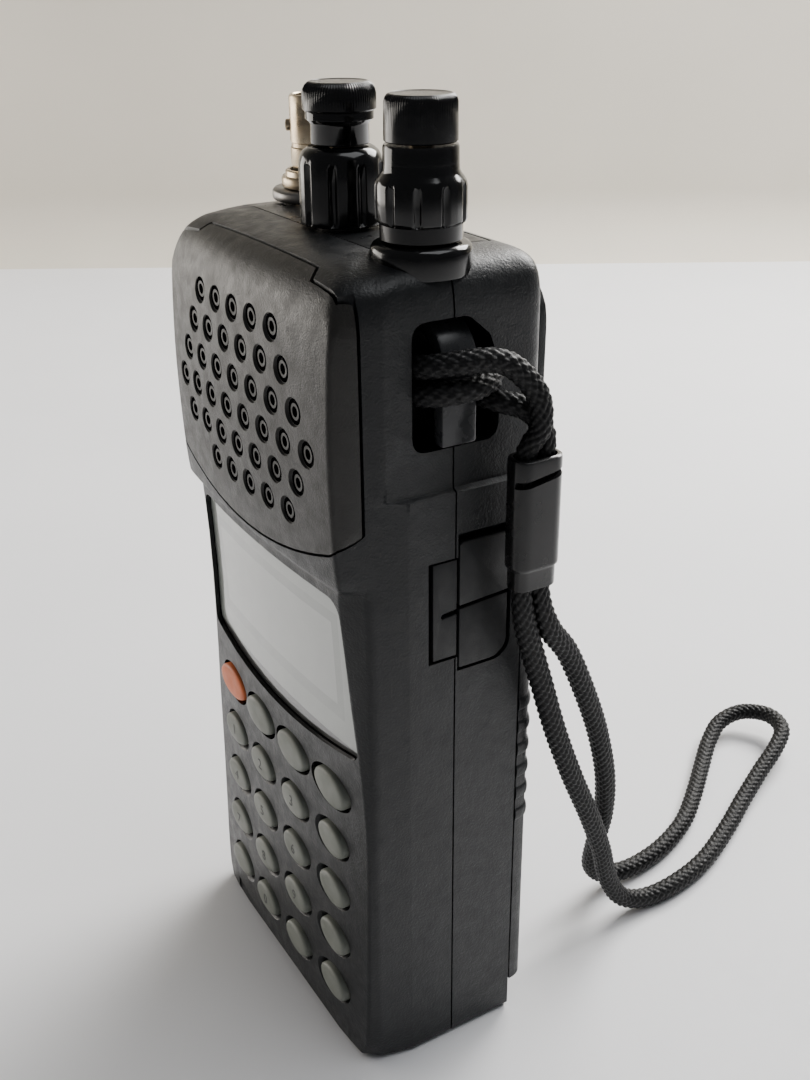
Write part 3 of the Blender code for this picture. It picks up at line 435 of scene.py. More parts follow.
def tool(bm, material=None):
    """A hidden object for a Boolean."""
    bmesh.ops.scale(bm, vec=(MM, MM, MM), verts=bm.verts)
    mesh = bpy.data.meshes.new("tool")
    bm.to_mesh(mesh)
    bm.free()
    if material:
        mesh.materials.append(material)
    obj = bpy.data.objects.new("tool", mesh)
    bpy.context.scene.collection.objects.link(obj)
    return obj


def shaped(bm, steps, material=None, bevel=None):
    """bm as a mesh after Booleans, each (operation, bmesh or object) or (operation, bmesh, material)."""
    obj = tool(bm, material)
    tools = []
    for operation, cutter, *paint in steps:
        if not isinstance(cutter, bpy.types.Object):
            cutter = tool(cutter, paint[0] if paint else None)
        tools.append(cutter)
        modifier = obj.modifiers.new(operation, "BOOLEAN")
        modifier.operation = operation
        modifier.object = cutter
        modifier.solver = "EXACT"
        modifier.material_mode = "TRANSFER" if paint else "INDEX"
    if bevel:
        modifier = obj.modifiers.new("soft_edges", "BEVEL")
        modifier.width = bevel * MM
        modifier.segments = 2
        modifier.limit_method = "ANGLE"
        modifier.angle_limit = math.radians(50)
        modifier.use_clamp_overlap = False
    bpy.context.view_layer.update()
    graph = bpy.context.evaluated_depsgraph_get()
    mesh = bpy.data.meshes.new_from_object(obj.evaluated_get(graph))
    for done in [obj, *tools]:
        bpy.data.objects.remove(done, do_unlink=True)
    return mesh


def piece(name, shape, material, body, replaces=(), slot=None, smooth=35, bevel=None):
    """A visible piece. shape is a bmesh in millimetres or a mesh that is already in metres."""
    if isinstance(shape, bmesh.types.BMesh):
        shape = shaped(shape, [], None, bevel)
    shape.name = name
    shape.shade_smooth()
    shape.set_sharp_from_angle(angle=math.radians(smooth))
    if not shape.materials:
        shape.materials.append(material)
    elif material:
        shape.materials[0] = material
    obj = bpy.data.objects.new(name, shape)
    bpy.context.scene.collection.objects.link(obj)
    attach(obj, body)
    if replaces:
        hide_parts(*replaces)
    return obj


# ---------------------------------------------------------------- cords

CORD_RADIUS = 2.05
TURN_RADIUS = 1.9
SQUEEZED_RADIUS = 1.65
STRAND_DEPTH = 0.36
CARRIERS = 8
PICK = 1.7
AROUND = 64
SLEEVE_Z = (95.0, 116.5)
EYE_CORD_ROUTE = (
    (38.8, 11.0, 106.2), (38.8, 11.0, 111.5), (38.8, 11.1, 117.0), (39.6, 12.9, 121.0), (39.3, 12.3, 126.0),
    (38.2, 9.0, 130.2), (37.0, 5.6, 131.6), (35.4, 1.6, 131.4), (32.8, -1.6, 130.7), (29.6, -2.2, 129.9),
    (27.1, -0.2, 129.2), (26.4, 3.4, 128.6), (27.4, 7.2, 128.1), (30.4, 8.8, 127.8), (33.8, 7.8, 127.6),
    (35.4, 4.0, 127.3), (34.8, 0.6, 127.0), (32.6, -1.8, 126.5), (29.6, -2.2, 125.9), (27.1, -0.2, 125.2),
    (26.4, 3.4, 124.6), (27.2, 7.0, 124.2), (30.2, 8.6, 124.0), (33.8, 9.8, 123.8), (36.7, 12.6, 122.8),
    (38.5, 14.4, 119.6), (38.8, 14.4, 115.5), (38.8, 14.4, 111.0), (38.8, 14.4, 106.2),
)
WRIST_CORD_ROUTE = (
    (38.8, 11.0, 105.6), (38.8, 11.0, 99.0), (38.7, 11.3, 92.0), (37.6, 13.8, 84.0), (36.4, 17.6, 74.0),
    (35.0, 22.2, 62.0), (33.0, 28.2, 49.0), (30.8, 34.6, 36.5), (28.2, 40.4, 24.5), (25.6, 45.0, 13.5),
    (24.6, 49.8, 5.6), (24.9, 56.0, 2.4), (24.9, 64.5, 2.1), (22.5, 75.5, 2.1), (17.1, 87.5, 2.1),
    (11.4, 98.4, 2.6), (6.4, 108.8, 3.6), (2.4, 118.0, 4.8), (-1.9, 124.3, 5.6), (-8.0, 125.7, 5.8),
    (-13.2, 121.7, 5.2), (-13.7, 114.8, 4.2), (-9.9, 107.5, 3.0), (-3.7, 99.4, 2.3), (3.3, 90.5, 2.1),
    (9.9, 81.0, 2.1), (14.2, 70.6, 2.1), (16.0, 60.6, 2.3), (16.0, 53.0, 3.8), (17.6, 47.6, 9.6),
    (20.9, 45.2, 18.5), (25.0, 43.2, 30.0), (28.8, 39.6, 42.5), (31.6, 34.8, 55.0), (34.2, 29.2, 66.5),
    (36.6, 22.6, 78.5), (38.2, 17.0, 86.0), (38.8, 14.4, 94.0), (38.8, 14.4, 105.6),
)


def smooth_route(points, spacing):
    """Points at even steps on a Catmull-Rom curve through given ones."""
    points = [Vector(point) for point in points]
    ends = [points[0] * 2 - points[1], *points, points[-1] * 2 - points[-2]]
    fine = []
    for a, b, c, d in zip(ends, ends[1:], ends[2:], ends[3:]):
        for i in range(24):
            t = i / 24
            bend = (a * 2 - b * 5 + c * 4 - d) * t**2 + (b * 3 - a - c * 3 + d) * t**3
            fine.append((b * 2 + (c - a) * t + bend) / 2)
    fine.append(points[-1])
    lengths = [0.0]
    for a, b in zip(fine, fine[1:]):
        lengths.append(lengths[-1] + (b - a).length)
    count = max(2, round(lengths[-1] / spacing))
    route = []
    at = 0
    for i in range(count + 1):
        want = lengths[-1] * i / count
        while at < len(fine) - 2 and lengths[at + 1] < want:
            at += 1
        share = (want - lengths[at]) / max(lengths[at + 1] - lengths[at], 1e-9)
        route.append(fine[at].lerp(fine[at + 1], share))
    return route, lengths[-1]


def braided_cord(name, route, full, material):
    """A tube whose skin is woven: two families of strands cross over and under each other.

    Each family has CARRIERS strands that wind once round the cord in CARRIERS times PICK
    millimetres. full is the radius outside the sleeve, which squeezes the cord."""
    path, length = smooth_route(route, 0.26)
    points = np.array(path)
    ahead = np.gradient(points, axis=0)
    ahead /= np.linalg.norm(ahead, axis=1)[:, None]
    side = np.zeros_like(ahead)
    start = np.cross(ahead[0], (0.0, 0.0, 1.0) if abs(ahead[0][2]) < 0.9 else (1.0, 0.0, 0.0))
    side[0] = start / np.linalg.norm(start)
    for i in range(1, len(ahead)):
        carried = side[i - 1] - ahead[i] * np.dot(side[i - 1], ahead[i])
        side[i] = carried / np.linalg.norm(carried)
    up = np.cross(ahead, side)
    angle = np.linspace(0, 2 * math.pi, AROUND, endpoint=False)
    run = np.linspace(0, length, len(points))
    turn, reach = np.meshgrid(angle, run)
    u = CARRIERS * turn / (2 * math.pi) + reach / PICK
    v = CARRIERS * turn / (2 * math.pi) - reach / PICK
    across_u = np.cos(math.pi * (u - np.floor(u) - 0.5))
    across_v = np.cos(math.pi * (v - np.floor(v) - 0.5))
    over = (np.floor(u) + np.floor(v)) % 2 < 0.5
    strand = np.where(over, across_u**0.7 * (0.3 + 0.7 * across_v), across_v**0.7 * (0.3 + 0.7 * across_u))
    outside = np.maximum(SLEEVE_Z[0] - points[:, 2], points[:, 2] - SLEEVE_Z[1])
    squeeze = np.clip(outside / 9.0, 0, 1)[:, None]
    radius = SQUEEZED_RADIUS + (full - SQUEEZED_RADIUS) * squeeze - STRAND_DEPTH * (1 - strand)
    close = np.minimum(1, np.minimum(reach, length - reach) / 0.6)
    radius = radius * (0.55 + 0.45 * close)
    skin = points[:, None, :] + radius[..., None] * (
        np.cos(turn)[..., None] * side[:, None, :] + np.sin(turn)[..., None] * up[:, None, :]
    )
    count = len(points)
    index = np.arange(count * AROUND).reshape(count, AROUND)
    beside = np.roll(index, -1, 1)
    faces = np.stack([index[:-1], beside[:-1], beside[1:], index[1:]], -1).reshape(-1, 4)
    mesh = bpy.data.meshes.new(name)
    ends = [tuple(index[0][::-1]), tuple(index[-1])]
    mesh.from_pydata((skin.reshape(-1, 3) * MM).tolist(), [], faces.tolist() + ends)
    mesh.update()
    obj = piece(name, mesh, material, "radio", (name.removesuffix("_braid"),), "cord", smooth=75)


# ---------------------------------------------------------------- the body's form

SEAM_Y = 2.95
GAP = 0.3
FACE_SAG = 0.0019
STEP_Z = 110.5
BODY_TOP = 144.8
FRONT_Y = (
    (0, -15.2), (1.2, -15.8), (5, -15.75), (12, -15.6), (22, -15.3), (44, -14.8), (58, -14.7), (95, -16.0),
    (97.3, -17.5), (105, -18.1), (118, -18.4),
    (134, -17.8), (139, -16.8), (141.5, -15.4), (143.5, -12.9), (144.4, -10.2), (BODY_TOP, -6.5),
)
FRONT_HALF = (
    (0, 27.6), (1.2, 29.0), (5, 30.6), (12, 31.0), (44, 31.0), (67, 29.0), (92, 26.6), (95, 26.6),
    (97.3, 29.3), (136, 29.3), (141, 27.6), (143.5, 25.2), (144.4, 22.6), (BODY_TOP, 19.0),
)
KNEE_X = (
    (0, 30.3), (1.2, 31.2), (5, 31.8), (40, 31.9), (92, 31.2), (97.3, 30.8), (136, 30.7), (141, 29.8),
    (143.5, 27.2), (BODY_TOP, 21.0),
)
KNEE_Y = ((0, -10.4), (1.2, -11.2), (5, -11.7), (97.3, -11.7), (141, -11.6), (143.5, -9.8), (BODY_TOP, -4.6))
SIDE = (
    (0, 31.5), (1.2, 32.5), (STEP_Z - 0.3, 32.5), (STEP_Z + 0.3, 31.6), (137, 31.6), (141, 31.1),
    (143.2, 29.8), (144.3, 27.3), (BODY_TOP, 22.5),
)
CORNER_Y = ((0, -5.5), (STEP_Z - 0.3, -5.5), (STEP_Z + 0.3, -9.0), (141, -8.6), (BODY_TOP, -2.5))
REAR_Y = ((0, 18.4), (1.2, 19.5), (139, 19.5), (142.4, 19.1), (143.8, 18.1), (144.5, 16.5), (BODY_TOP, 14.6))
BODY_TABLES = (FRONT_Y, FRONT_HALF, KNEE_X, KNEE_Y, SIDE, CORNER_Y, REAR_Y)
BODY_STATIONS = (
    0, 0.15, 0.35, 0.6, 0.9, 1.2, 2, 3.5, 5, 8, 12, 22, 33, 44, 51, 58, 67, 76, 84, 90, 92, 93.5,
    95, 95.6, 96.2, 96.8, 97.3, 99, 102, 105, 108, 110.2, 110.35, 110.5, 110.65, 110.8,
    114, 118, 122, 126, 130, 134, 136, 137.5, 139, 140, 141, 141.8, 142.5, 143.1, 143.5,
    143.8, 144.1, 144.35, 144.55, 144.7, BODY_TOP,
)
CORNER_STEPS = 7
HOLLOW = ((4.2, 30.0), (137, 29.4), (141.2, 26.5))
LEFT_KNOB_AT = (0.5, 2.0)
RIGHT_KNOB_AT = (24.2, 2.0)
AERIAL_AT = (-22.5, 10.0)


def rounded(corners, radii, steps):
    """An open path whose inner corners are replaced by smooth bends."""
    path = [corners[0]]
    for before, corner, after, radius in zip(corners, corners[1:], corners[2:], radii):
        corner = Vector(corner)
        inward, outward = Vector(before) - corner, Vector(after) - corner
        reach = min(radius / math.tan(inward.angle(outward) / 2), 0.45 * inward.length, 0.45 * outward.length)
        a = corner + inward.normalized() * reach
        b = corner + outward.normalized() * reach
        for i in range(steps + 1):
            t = i / steps
            path.append(tuple(a * (1 - t) ** 2 + corner * 2 * t * (1 - t) + b * t**2))
    path.append(corners[-1])
    return path


def section(z, grow=0.0):
    """The case's outline at height z. Near the top its corners get rounder, and grow pushes
    its sides and back out."""
    front, half, knee_x, knee_y, side, corner_y, rear = (along(table, z) for table in BODY_TABLES)
    side += grow
    rear += grow
    face = [(half * t, front + FACE_SAG * (half * t) ** 2) for t in (0.2, 0.4, 0.6, 0.8, 1.0)]
    corners = [face[3], face[4], (knee_x, knee_y), (side, corner_y), (side, rear), (0, rear)]
    soft = 3.5 * min(1.0, max(0.0, (z - 136) / 6))
    right = face[:3] + rounded(corners, (1.2 + soft, 2.5 + soft, 2.5 + soft, 3.6), CORNER_STEPS)
    left = [(-x, y) for x, y in right[-2::-1]]
    return [(x, y, z) for x, y in [(0, front), *right, *left]]


def body_form():
    bm = loft([section(z) for z in BODY_STATIONS])
    bmesh.ops.remove_doubles(bm, verts=bm.verts, dist=0.004)
    return bm


def hollow_form():
    """A plain hollow, well inside the walls."""
    rings = []
    for z, x in HOLLOW:
        front = -12.4 if z < 60 else -9.6
        rings.append([(-x, front, z), (x, front, z), (x, 17.3, z), (-x, 17.3, z)])
    return loft(rings)


def face_y(x, z):
    """Where the front face is at x and z."""
    return along(FRONT_Y, z) + FACE_SAG * x * x


def pad_plan(gap):
    """The pad's outline seen from above, wider by gap, with a jog near each side."""
    back, jog = -12.0 + gap, -13.8 + gap
    inner, outer = 20.6 + gap, 27.8 - gap
    right = [(33.5, -26), (33.5, back), (outer + 1.4, back), (outer, jog), (inner, jog), (inner - 1.4, back)]
    return right + [(-x, y) for x, y in right[::-1]]


def pad_underside(gap):
    """The space below the pad's lower edge: a shallow arc whose ends turn up in round corners."""
    arc = [(x, 97.6 - gap + 0.0065 * x * x) for x in np.linspace(-27, 27, 25)]
    turn = []
    for i in range(1, 9):
        t = math.radians(90 * i / 8)
        turn.append((27 + 3.9 * math.sin(t), 102.34 - gap + 4.3 * (1 - math.cos(t)) + 0.8 * math.sin(t)))
    ends = [*turn, (36, turn[-1][1] + 0.2)]
    left = [(-x, z) for x, z in ends[::-1]]
    return [*left, *arc, *ends, (36, 80), (-36, 80)]


HOLE_ROWS = (
    range(-4, 5, 2), range(-5, 6, 2), range(-6, 7, 2), range(-7, 8, 2), range(-6, 7, 2), range(-3, 6, 2),
)
HOLE_STEP_X = 3.335
HOLE_PITCH_Z = 5.62
HOLE_TOP_Z = 134.4
KEY_ROWS_Z = (54.9, 44.0, 33.2, 22.4, 11.6)
KEY_PITCH_X = 13.4
KEY_RISE = 0.8
EYE_CORNERS = ((-4.2, 117.3), (11.0, 117.3), (11.0, 128.6), (9.2, 133.6), (5.4, 136.9), (-4.2, 136.9))


def hole_places():
    for row, columns in enumerate(HOLE_ROWS):
        for column in columns:
            yield column * HOLE_STEP_X, HOLE_TOP_Z - row * HOLE_PITCH_Z


def key_places():
    for row, z in enumerate(KEY_ROWS_Z, 1):
        for column in range(4):
            name = "key_power" if (row, column) == (1, 0) else f"key_r{row}c{column + 1}"
            yield name, row, column, (column - 1.5) * KEY_PITCH_X, z


def oval_loft(x, z, levels, sides=40):
    """An oval form through (y, half width, half height) levels about a place on the face."""
    rings = []
    for y, half_x, half_z in levels:
        ring = []
        for i in range(sides):
            t = 2 * math.pi * i / sides
            ring.append((x + half_x * math.cos(t), y, z + half_z * math.sin(t)))
        rings.append(ring)
    return loft(rings)


def round_corners(u0, v0, u1, v1, radius, steps=6):
    outline = []
    low_u, high_u, low_v, high_v = u0 + radius, u1 - radius, v0 + radius, v1 - radius
    for u, v, first in ((high_u, high_v, 0), (low_u, high_v, 90), (low_u, low_v, 180), (high_u, low_v, 270)):
        for i in range(steps + 1):
            turn = math.radians(first + 90 * i / steps)
            outline.append((u + radius * math.cos(turn), v + radius * math.sin(turn)))
    return outline


def lcd_outline(margin):
    """The display window: wider at its foot, which bows down in the middle."""
    top, foot = 93.4, 64.5
    right = [(18, top + 0.25), (23.2, top + 0.2)]
    for i in range(6):
        t = math.radians(18 * i)
        right.append((23.2 + 3.2 * math.sin(t), top - 3.0 + 3.2 * math.cos(t)))
    right += [(26.9, 84.0), (27.5, 76.0), (28.3, 69.5)]
    for i in range(7):
        t = math.radians(15 * i)
        right.append((26.6 + 2.1 * math.cos(t), foot + 2.1 - 2.1 * math.sin(t)))
    right += [(x, foot - 2.3 * (1 - (x / 26.6) ** 2)) for x in (22, 17, 12, 7, 2)]
    outline = right + [(-x, z) for x, z in right[::-1]]
    return [(x * (1 + margin / 27), 79 + (z - 79) * (1 + margin / 15)) for x, z in outline]


def soft_outline(corners, radius, steps=5):
    """A closed outline with every corner rounded."""
    closed = [corners[-1], *corners, corners[0]]
    return rounded(closed, [radius] * len(corners), steps)[1:-1]


def fillings():
    """Solid blocks inside the right side, which the strap's eye and the jacks' well are cut into."""
    eye_block = box((23.0, -5.6, 115.9), (31.2, 12.4, 138.6))
    jack_block = box((28.6, -3.6, 77.4), (32.0, 15.3, 104.6))
    return ("UNION", joined(eye_block, jack_block))


def side_tools():
    """The strap's eye, the jack cover's well and the two jacks' holes."""
    eye = prism(soft_outline(EYE_CORNERS, 2.6), 24.4, 40, "x")
    outline = [(-2.0, 81.5), (3.4, 81.5), (3.4, 78.9), (10.2, 78.9)]
    for i in range(1, 7):
        t = math.radians(15 * i)
        outline.append((10.2 + 3.4 * math.sin(t), 82.3 - 3.4 * math.cos(t)))
    outline += [(13.6, 103.2), (3.4, 103.2), (3.4, 99.3), (-2.0, 99.3)]
    well = prism(outline, 30.6, 40, "x")
    com = rod((26, 8.6, 95.8), 6, 3.2, "x")
    dc = rod((26, 8.6, 84.4), 6, 3.6, "x")
    return [("DIFFERENCE", part) for part in (eye, well, com, dc)]


def top_tools():
    """The holes of both controls and of the aerial jack, and the recess of the top panel."""
    holes = joined(*[rod((*place, 138), 10, 4.8) for place in (LEFT_KNOB_AT, RIGHT_KNOB_AT, AERIAL_AT)])
    recess = box((-28.05, -3.05, 143.05), (22.15, 15.65, 150))
    return [("DIFFERENCE", holes), ("DIFFERENCE", recess)]


def make_front_shell(material, gloss):
    below_pad = prism(pad_underside(GAP / 2), -30, 0, "y")
    pad_cut = shaped(prism(pad_plan(GAP / 2), 90, 152), [("DIFFERENCE", below_pad)])
    pad_tool = bpy.data.objects.new("tool", pad_cut)
    bpy.context.scene.collection.objects.link(pad_tool)
    steps = [
        ("DIFFERENCE", hollow_form()),
        fillings(),
        ("INTERSECT", box((-50, -40, -20), (50, SEAM_Y - GAP / 2, 180))),
        ("DIFFERENCE", pad_tool),
        # The display window's walls take the darker knob gloss: painted shade on walls that light reaches.
        ("DIFFERENCE", prism(lcd_outline(0), -30, -11, "y"), gloss),
        ("DIFFERENCE", box((-24.5, -22, -4), (24.5, -14.4, 3.8))),
        ("DIFFERENCE", rod((0, -14, 118), 6, 17.2, "y")),
    ]
    # The top row's wells nearly touch, so every other one is cut on its own. They take the darker knob gloss
    # as painted shade round the top keys.
    wide_wells, wells = [[], []], []
    for _, row, column, x, z in key_places():
        y = face_y(x, z)
        if row == 1:
            levels = ((y - 0.9, 6.62, 4.05), (y - 0.05, 6.5, 3.9), (y + 0.7, 6.2, 3.6), (y + 4.2, 6.1, 3.5))
            wide_wells[column % 2].append(oval_loft(x, z, levels))
        else:
            levels = ((y - 0.5, 6.1, 4.3), (y - 0.05, 5.6, 3.8), (y + 0.55, 5.2, 3.4), (y + 4.2, 5.1, 3.3))
            wells.append(oval_loft(x, z, levels))
    steps += [("DIFFERENCE", joined(*group), gloss) for group in wide_wells]
    steps.append(("DIFFERENCE", joined(*wells)))
    steps += side_tools() + top_tools()
    steps.append(("DIFFERENCE", prism(round_corners(-4.6, 85, 1.2, 104, 2.6), -40, -27, "x")))
    mesh = shaped(body_form(), steps, material)
    piece("front_shell_skin", mesh, material, "radio", ("front_shell",), "case", smooth=38)


def make_rear_shell(material):
    steps = [
        ("DIFFERENCE", hollow_form()),
        fillings(),
        ("UNION", box((-31.2, 13.4, 69.0), (31.2, 17.9, 86.4))),
        ("UNION", box((-31.2, 13.4, 1.2), (31.2, 17.9, 7.3))),
        ("INTERSECT", box((-50, SEAM_Y + GAP / 2, -20), (50, 60, 180))),
        ("DIFFERENCE", box((-40, 15.65, -5), (40, 40, 84.35))),
        *side_tools(),
        *top_tools(),
    ]
    screws = [rod((x, 17.4, 131.0), 6, 2.6, "y") for x in (-18.5, 18.5)]
    steps.append(("DIFFERENCE", joined(*screws)))
    mesh = shaped(body_form(), steps, material)
    piece("rear_shell_skin", mesh, material, "radio", ("rear_shell",), "case", smooth=38)


def make_pad(material, dark):
    """The speaker pad. Each hole is a dished seat with a raised lip round a small bore."""
    gap = -0.32
    steps = [
        ("INTERSECT", prism(pad_plan(gap), 90, 152)),
        ("DIFFERENCE", prism(pad_underside(gap), -30, 0, "y")),
        ("DIFFERENCE", box((-26.5, -15.6, 103.9), (26.5, -8, 138.3))),
    ]
    dishes, grooves, bores = [], [], []
    for x, z in hole_places():
        y = face_y(x, z)
        dishes.append(turned([(2.8, -1.2), (2.34, -0.1), (2.2, 0.12), (2.1, 0.32)], (x, y, z), "y", 32))
        groove = [(1.26, -0.5), (2.04, -0.5), (1.98, 0.8), (1.85, 1.05), (1.5, 1.05), (1.36, 0.9)]
        grooves.append(turned(groove, (x, y, z), "y", 32, hollow=True))
        bores.append(rod((x, y - 0.6, z), 6, 0.84, "y", 28))
    # The grooves and bores take the dark hole finish: painted shade in the holes, on top of their gloss.
    steps += [
        ("DIFFERENCE", joined(*dishes)),
        ("DIFFERENCE", joined(*grooves), dark),
        ("DIFFERENCE", joined(*bores), dark),
    ]
    mesh = shaped(body_form(), steps, material)
    piece("speaker_grille_skin", mesh, material, "radio", ("speaker_grille",), "grille", smooth=38)


def make_door(material):
    """The battery door, with rounded grip ribs across its back and sides."""
    ribs, pitch, half, rise = 6, 4.6, 1.25, 0.28
    middles = [45.25 + pitch * rib for rib in range(ribs)]
    stations = [6.8, 20, 40]
    for middle in middles:
        stations += [middle + away for away in (-half, -1.0, -0.65, 0, 0.65, 1.0, half)]
    stations += [76, 84.0]
    rings = []
    for z in stations:
        away = min(abs(z - middle) for middle in middles)
        rings.append(section(z, grow=rise * math.sqrt(max(0.0, 1 - (away / half) ** 2))))
    inside = [(-30.4, 10), (30.4, 10), (30.4, 16.6), (29.3, 17.7), (-29.3, 17.7), (-30.4, 16.6)]
    steps = [
        ("INTERSECT", box((-50, 15.95, 0), (50, 40, 120))),
        ("DIFFERENCE", prism(inside, 8.4, 82.4)),
    ]
    mesh = shaped(loft(rings), steps, material)
    piece("battery_door_skin", mesh, material, "battery_door", ("battery_door",), "case")


# ---------------------------------------------------------------- keys and display

NUMBER_SIZE = 3.1
KEY_MARKS = {
    (2, 0): "1", (2, 1): "2", (2, 2): "3", (3, 0): "4", (3, 1): "5", (3, 2): "6",
    (4, 0): "7", (4, 1): "8", (4, 2): "9", (5, 1): "0",
}


def key_form(x, z, half_x, half_z):
    """A domed oval cap with a soft edge, proud of the face."""
    y = face_y(x, z)
    levels = [
        (-KEY_RISE, 0.0), (-KEY_RISE, 0.3), (-0.79, 0.55), (-0.755, 0.74), (-0.67, 0.86), (-0.52, 0.94),
        (-0.28, 0.985), (0.0, 1.0), (3.3, 1.0),
    ]
    rings = [(y + rise, max(half_x * share, 0.02), max(half_z * share, 0.02)) for rise, share in levels]
    return oval_loft(x, z, rings, 48)


def number_mark(name, text, x, z, material, body):
    """A printed number, a hair proud of its key."""
    curve = bpy.data.curves.new(name, "FONT")
    curve.body = text
    curve.size = NUMBER_SIZE * MM
    curve.extrude = 0.02 * MM
    curve.align_x = "CENTER"
    curve.align_y = "CENTER"
    obj = bpy.data.objects.new(name, curve)
    y = face_y(x, z) - KEY_RISE - 0.015
    obj.matrix_world = Matrix.Translation(Vector((x, y, z)) * MM) @ Matrix.Rotation(math.radians(90), 4, "X")
    bpy.context.scene.collection.objects.link(obj)
    bpy.context.view_layer.update()
    graph = bpy.context.evaluated_depsgraph_get()
    mesh = bpy.data.meshes.new_from_object(obj.evaluated_get(graph))
    mesh.transform(obj.matrix_world)
    bpy.data.objects.remove(obj, do_unlink=True)
    piece(name, mesh, material, body, slot="key_rubber")


def make_keys(rubber, orange, ink):
    for name, row, column, x, z in key_places():
        half = (5.5, 3.2) if row == 1 else (4.65, 2.92)
        material, slot = (orange, "power_key_rubber") if name == "key_power" else (rubber, "key_rubber")
        piece(name + "_cap", key_form(x, z, *half), material, name, (name,), slot, smooth=60)
        if (row, column) in KEY_MARKS:
            number_mark(name + "_mark", KEY_MARKS[row, column], x, z, ink, name)


def make_display(print_finish):
    """A lens that follows the face's curve, a little below it."""
    sunk = body_form()
    bmesh.ops.translate(sunk, vec=(0, 0.95, 0), verts=sunk.verts)
    mesh = shaped(sunk, [("INTERSECT", prism(lcd_outline(-0.25), -20, -12.3, "y"))], print_finish)
    piece("lcd_lens_panel", mesh, print_finish, "radio", ("lcd_lens",), "lens", smooth=30)


# ---------------------------------------------------------------- knobs and jack


def knurl(count, depth, beyond, above):
    """Fine grip teeth where the radius is over beyond and the height over above."""

    def reach(angle, radius, height):
        if radius < beyond or height < above:
            return radius
        return radius - depth * abs(math.sin(angle * count / 2)) ** 1.5

    return reach


def flutes(count, depth, share, top, bottom):
    """Narrow grooves between broad lobes, from top down to bottom."""

    def reach(angle, radius, height):
        if not bottom <= height <= top:
            return radius
        away = abs((angle * count / (2 * math.pi)) % 1 - 0.5) * 2
        groove = max(0.0, 1 - (1 - away) / share)
        sag = 0.10 * away * (1 - away)
        return radius - depth * math.sin(groove * math.pi / 2) - sag

    return reach


def make_left_knobs(gloss, cap_finish, metal):
    place = (*LEFT_KNOB_AT, 0)
    ring = [
        (2.4, 147.0), (4.9, 147.0), (4.9, 145.4), (6.4, 145.4), (6.6, 145.6), (6.65, 146.0), (6.65, 148.0),
        (6.64, 150), (6.62, 152), (6.60, 154.4), (6.5, 154.9),
        (6.3, 155.6), (5.9, 156.3), (5.3, 156.8), (4.9, 157.0), (2.4, 157.0),
    ]
    shape = turned(ring, place, sides=240, reach=flutes(9, 0.6, 0.34, 154.5, 145.7), hollow=True)
    piece("left_ring_body", shape, gloss, "left_ring", ("left_ring",), "knob", smooth=50)
    neck = [
        (0.05, 157.3), (4.4, 157.3), (4.55, 157.5), (4.5, 160.2), (4.7, 160.6), (5.25, 161.0), (5.27, 162.1),
        (5.2, 162.2), (0.05, 162.2),
    ]
    shape = turned(neck, place, sides=96)
    piece("left_knob_neck", shape, gloss, "left_knob", ("left_knob",), "knob", smooth=50)
    cap = [
        (0.05, 162.25), (5.45, 162.25), (5.66, 162.45), (5.68, 163.5), (5.66, 164.7), (5.5, 165.3),
        (5.2, 165.85), (4.75, 166.25), (4.4, 166.38), (4.3, 166.3), (2.2, 166.33), (0.05, 166.34),
    ]
    shape = turned(cap, place, sides=480, reach=knurl(80, 0.12, 4.5, 164.0))
    piece("left_knob_cap", shape, cap_finish, "left_knob", (), "knob", smooth=40)
    piece("left_shaft", rod((*LEFT_KNOB_AT, 137), 22, 1.7), metal, "left_knob", (), "nickel")


def make_right_knobs(gloss, cap_finish, metal):
    place = (*RIGHT_KNOB_AT, 0)
    ring = [
        (2.4, 146.9), (5.7, 146.9), (5.98, 147.1), (6.0, 149.2), (6.15, 149.3), (6.45, 149.5), (6.6, 149.9),
        (6.6, 152), (6.58, 154.4), (6.45, 154.9), (6.1, 155.5), (5.7, 156.0), (5.45, 156.5), (5.4, 157.5),
        (5.36, 159.6), (5.2, 159.9), (2.4, 159.9),
    ]
    shape = turned(ring, place, sides=240, reach=flutes(10, 0.55, 0.34, 154.8, 149.35), hollow=True)
    piece("right_ring_body", shape, gloss, "right_ring", ("right_ring",), "knob", smooth=50)
    cap = [
        (0.05, 160.2), (5.0, 160.2), (5.22, 160.4), (5.22, 162), (5.18, 164), (5.15, 165.5), (5.0, 166.0),
        (4.7, 166.4), (4.35, 166.55), (4.25, 166.48), (2.0, 166.5), (0.05, 166.5),
    ]
    shape = turned(cap, place, sides=504, reach=knurl(84, 0.10, 4.4, 165.0))
    piece("right_knob_cap", shape, cap_finish, "right_knob", ("right_knob",), "knob", smooth=40)
    piece("right_shaft", rod((*RIGHT_KNOB_AT, 141), 20, 1.7), metal, "right_knob", (), "nickel")
    collar = [
        (4.8, 142.3), (7.3, 142.3), (7.4, 142.6), (7.4, 145.4), (7.3, 145.9), (6.95, 146.4), (6.4, 146.6),
        (4.8, 146.6),
    ]
    shape = turned(collar, place, sides=96, hollow=True)
    piece("right_collar_ring", shape, gloss, "radio", ("right_collar",), "knob", smooth=50)


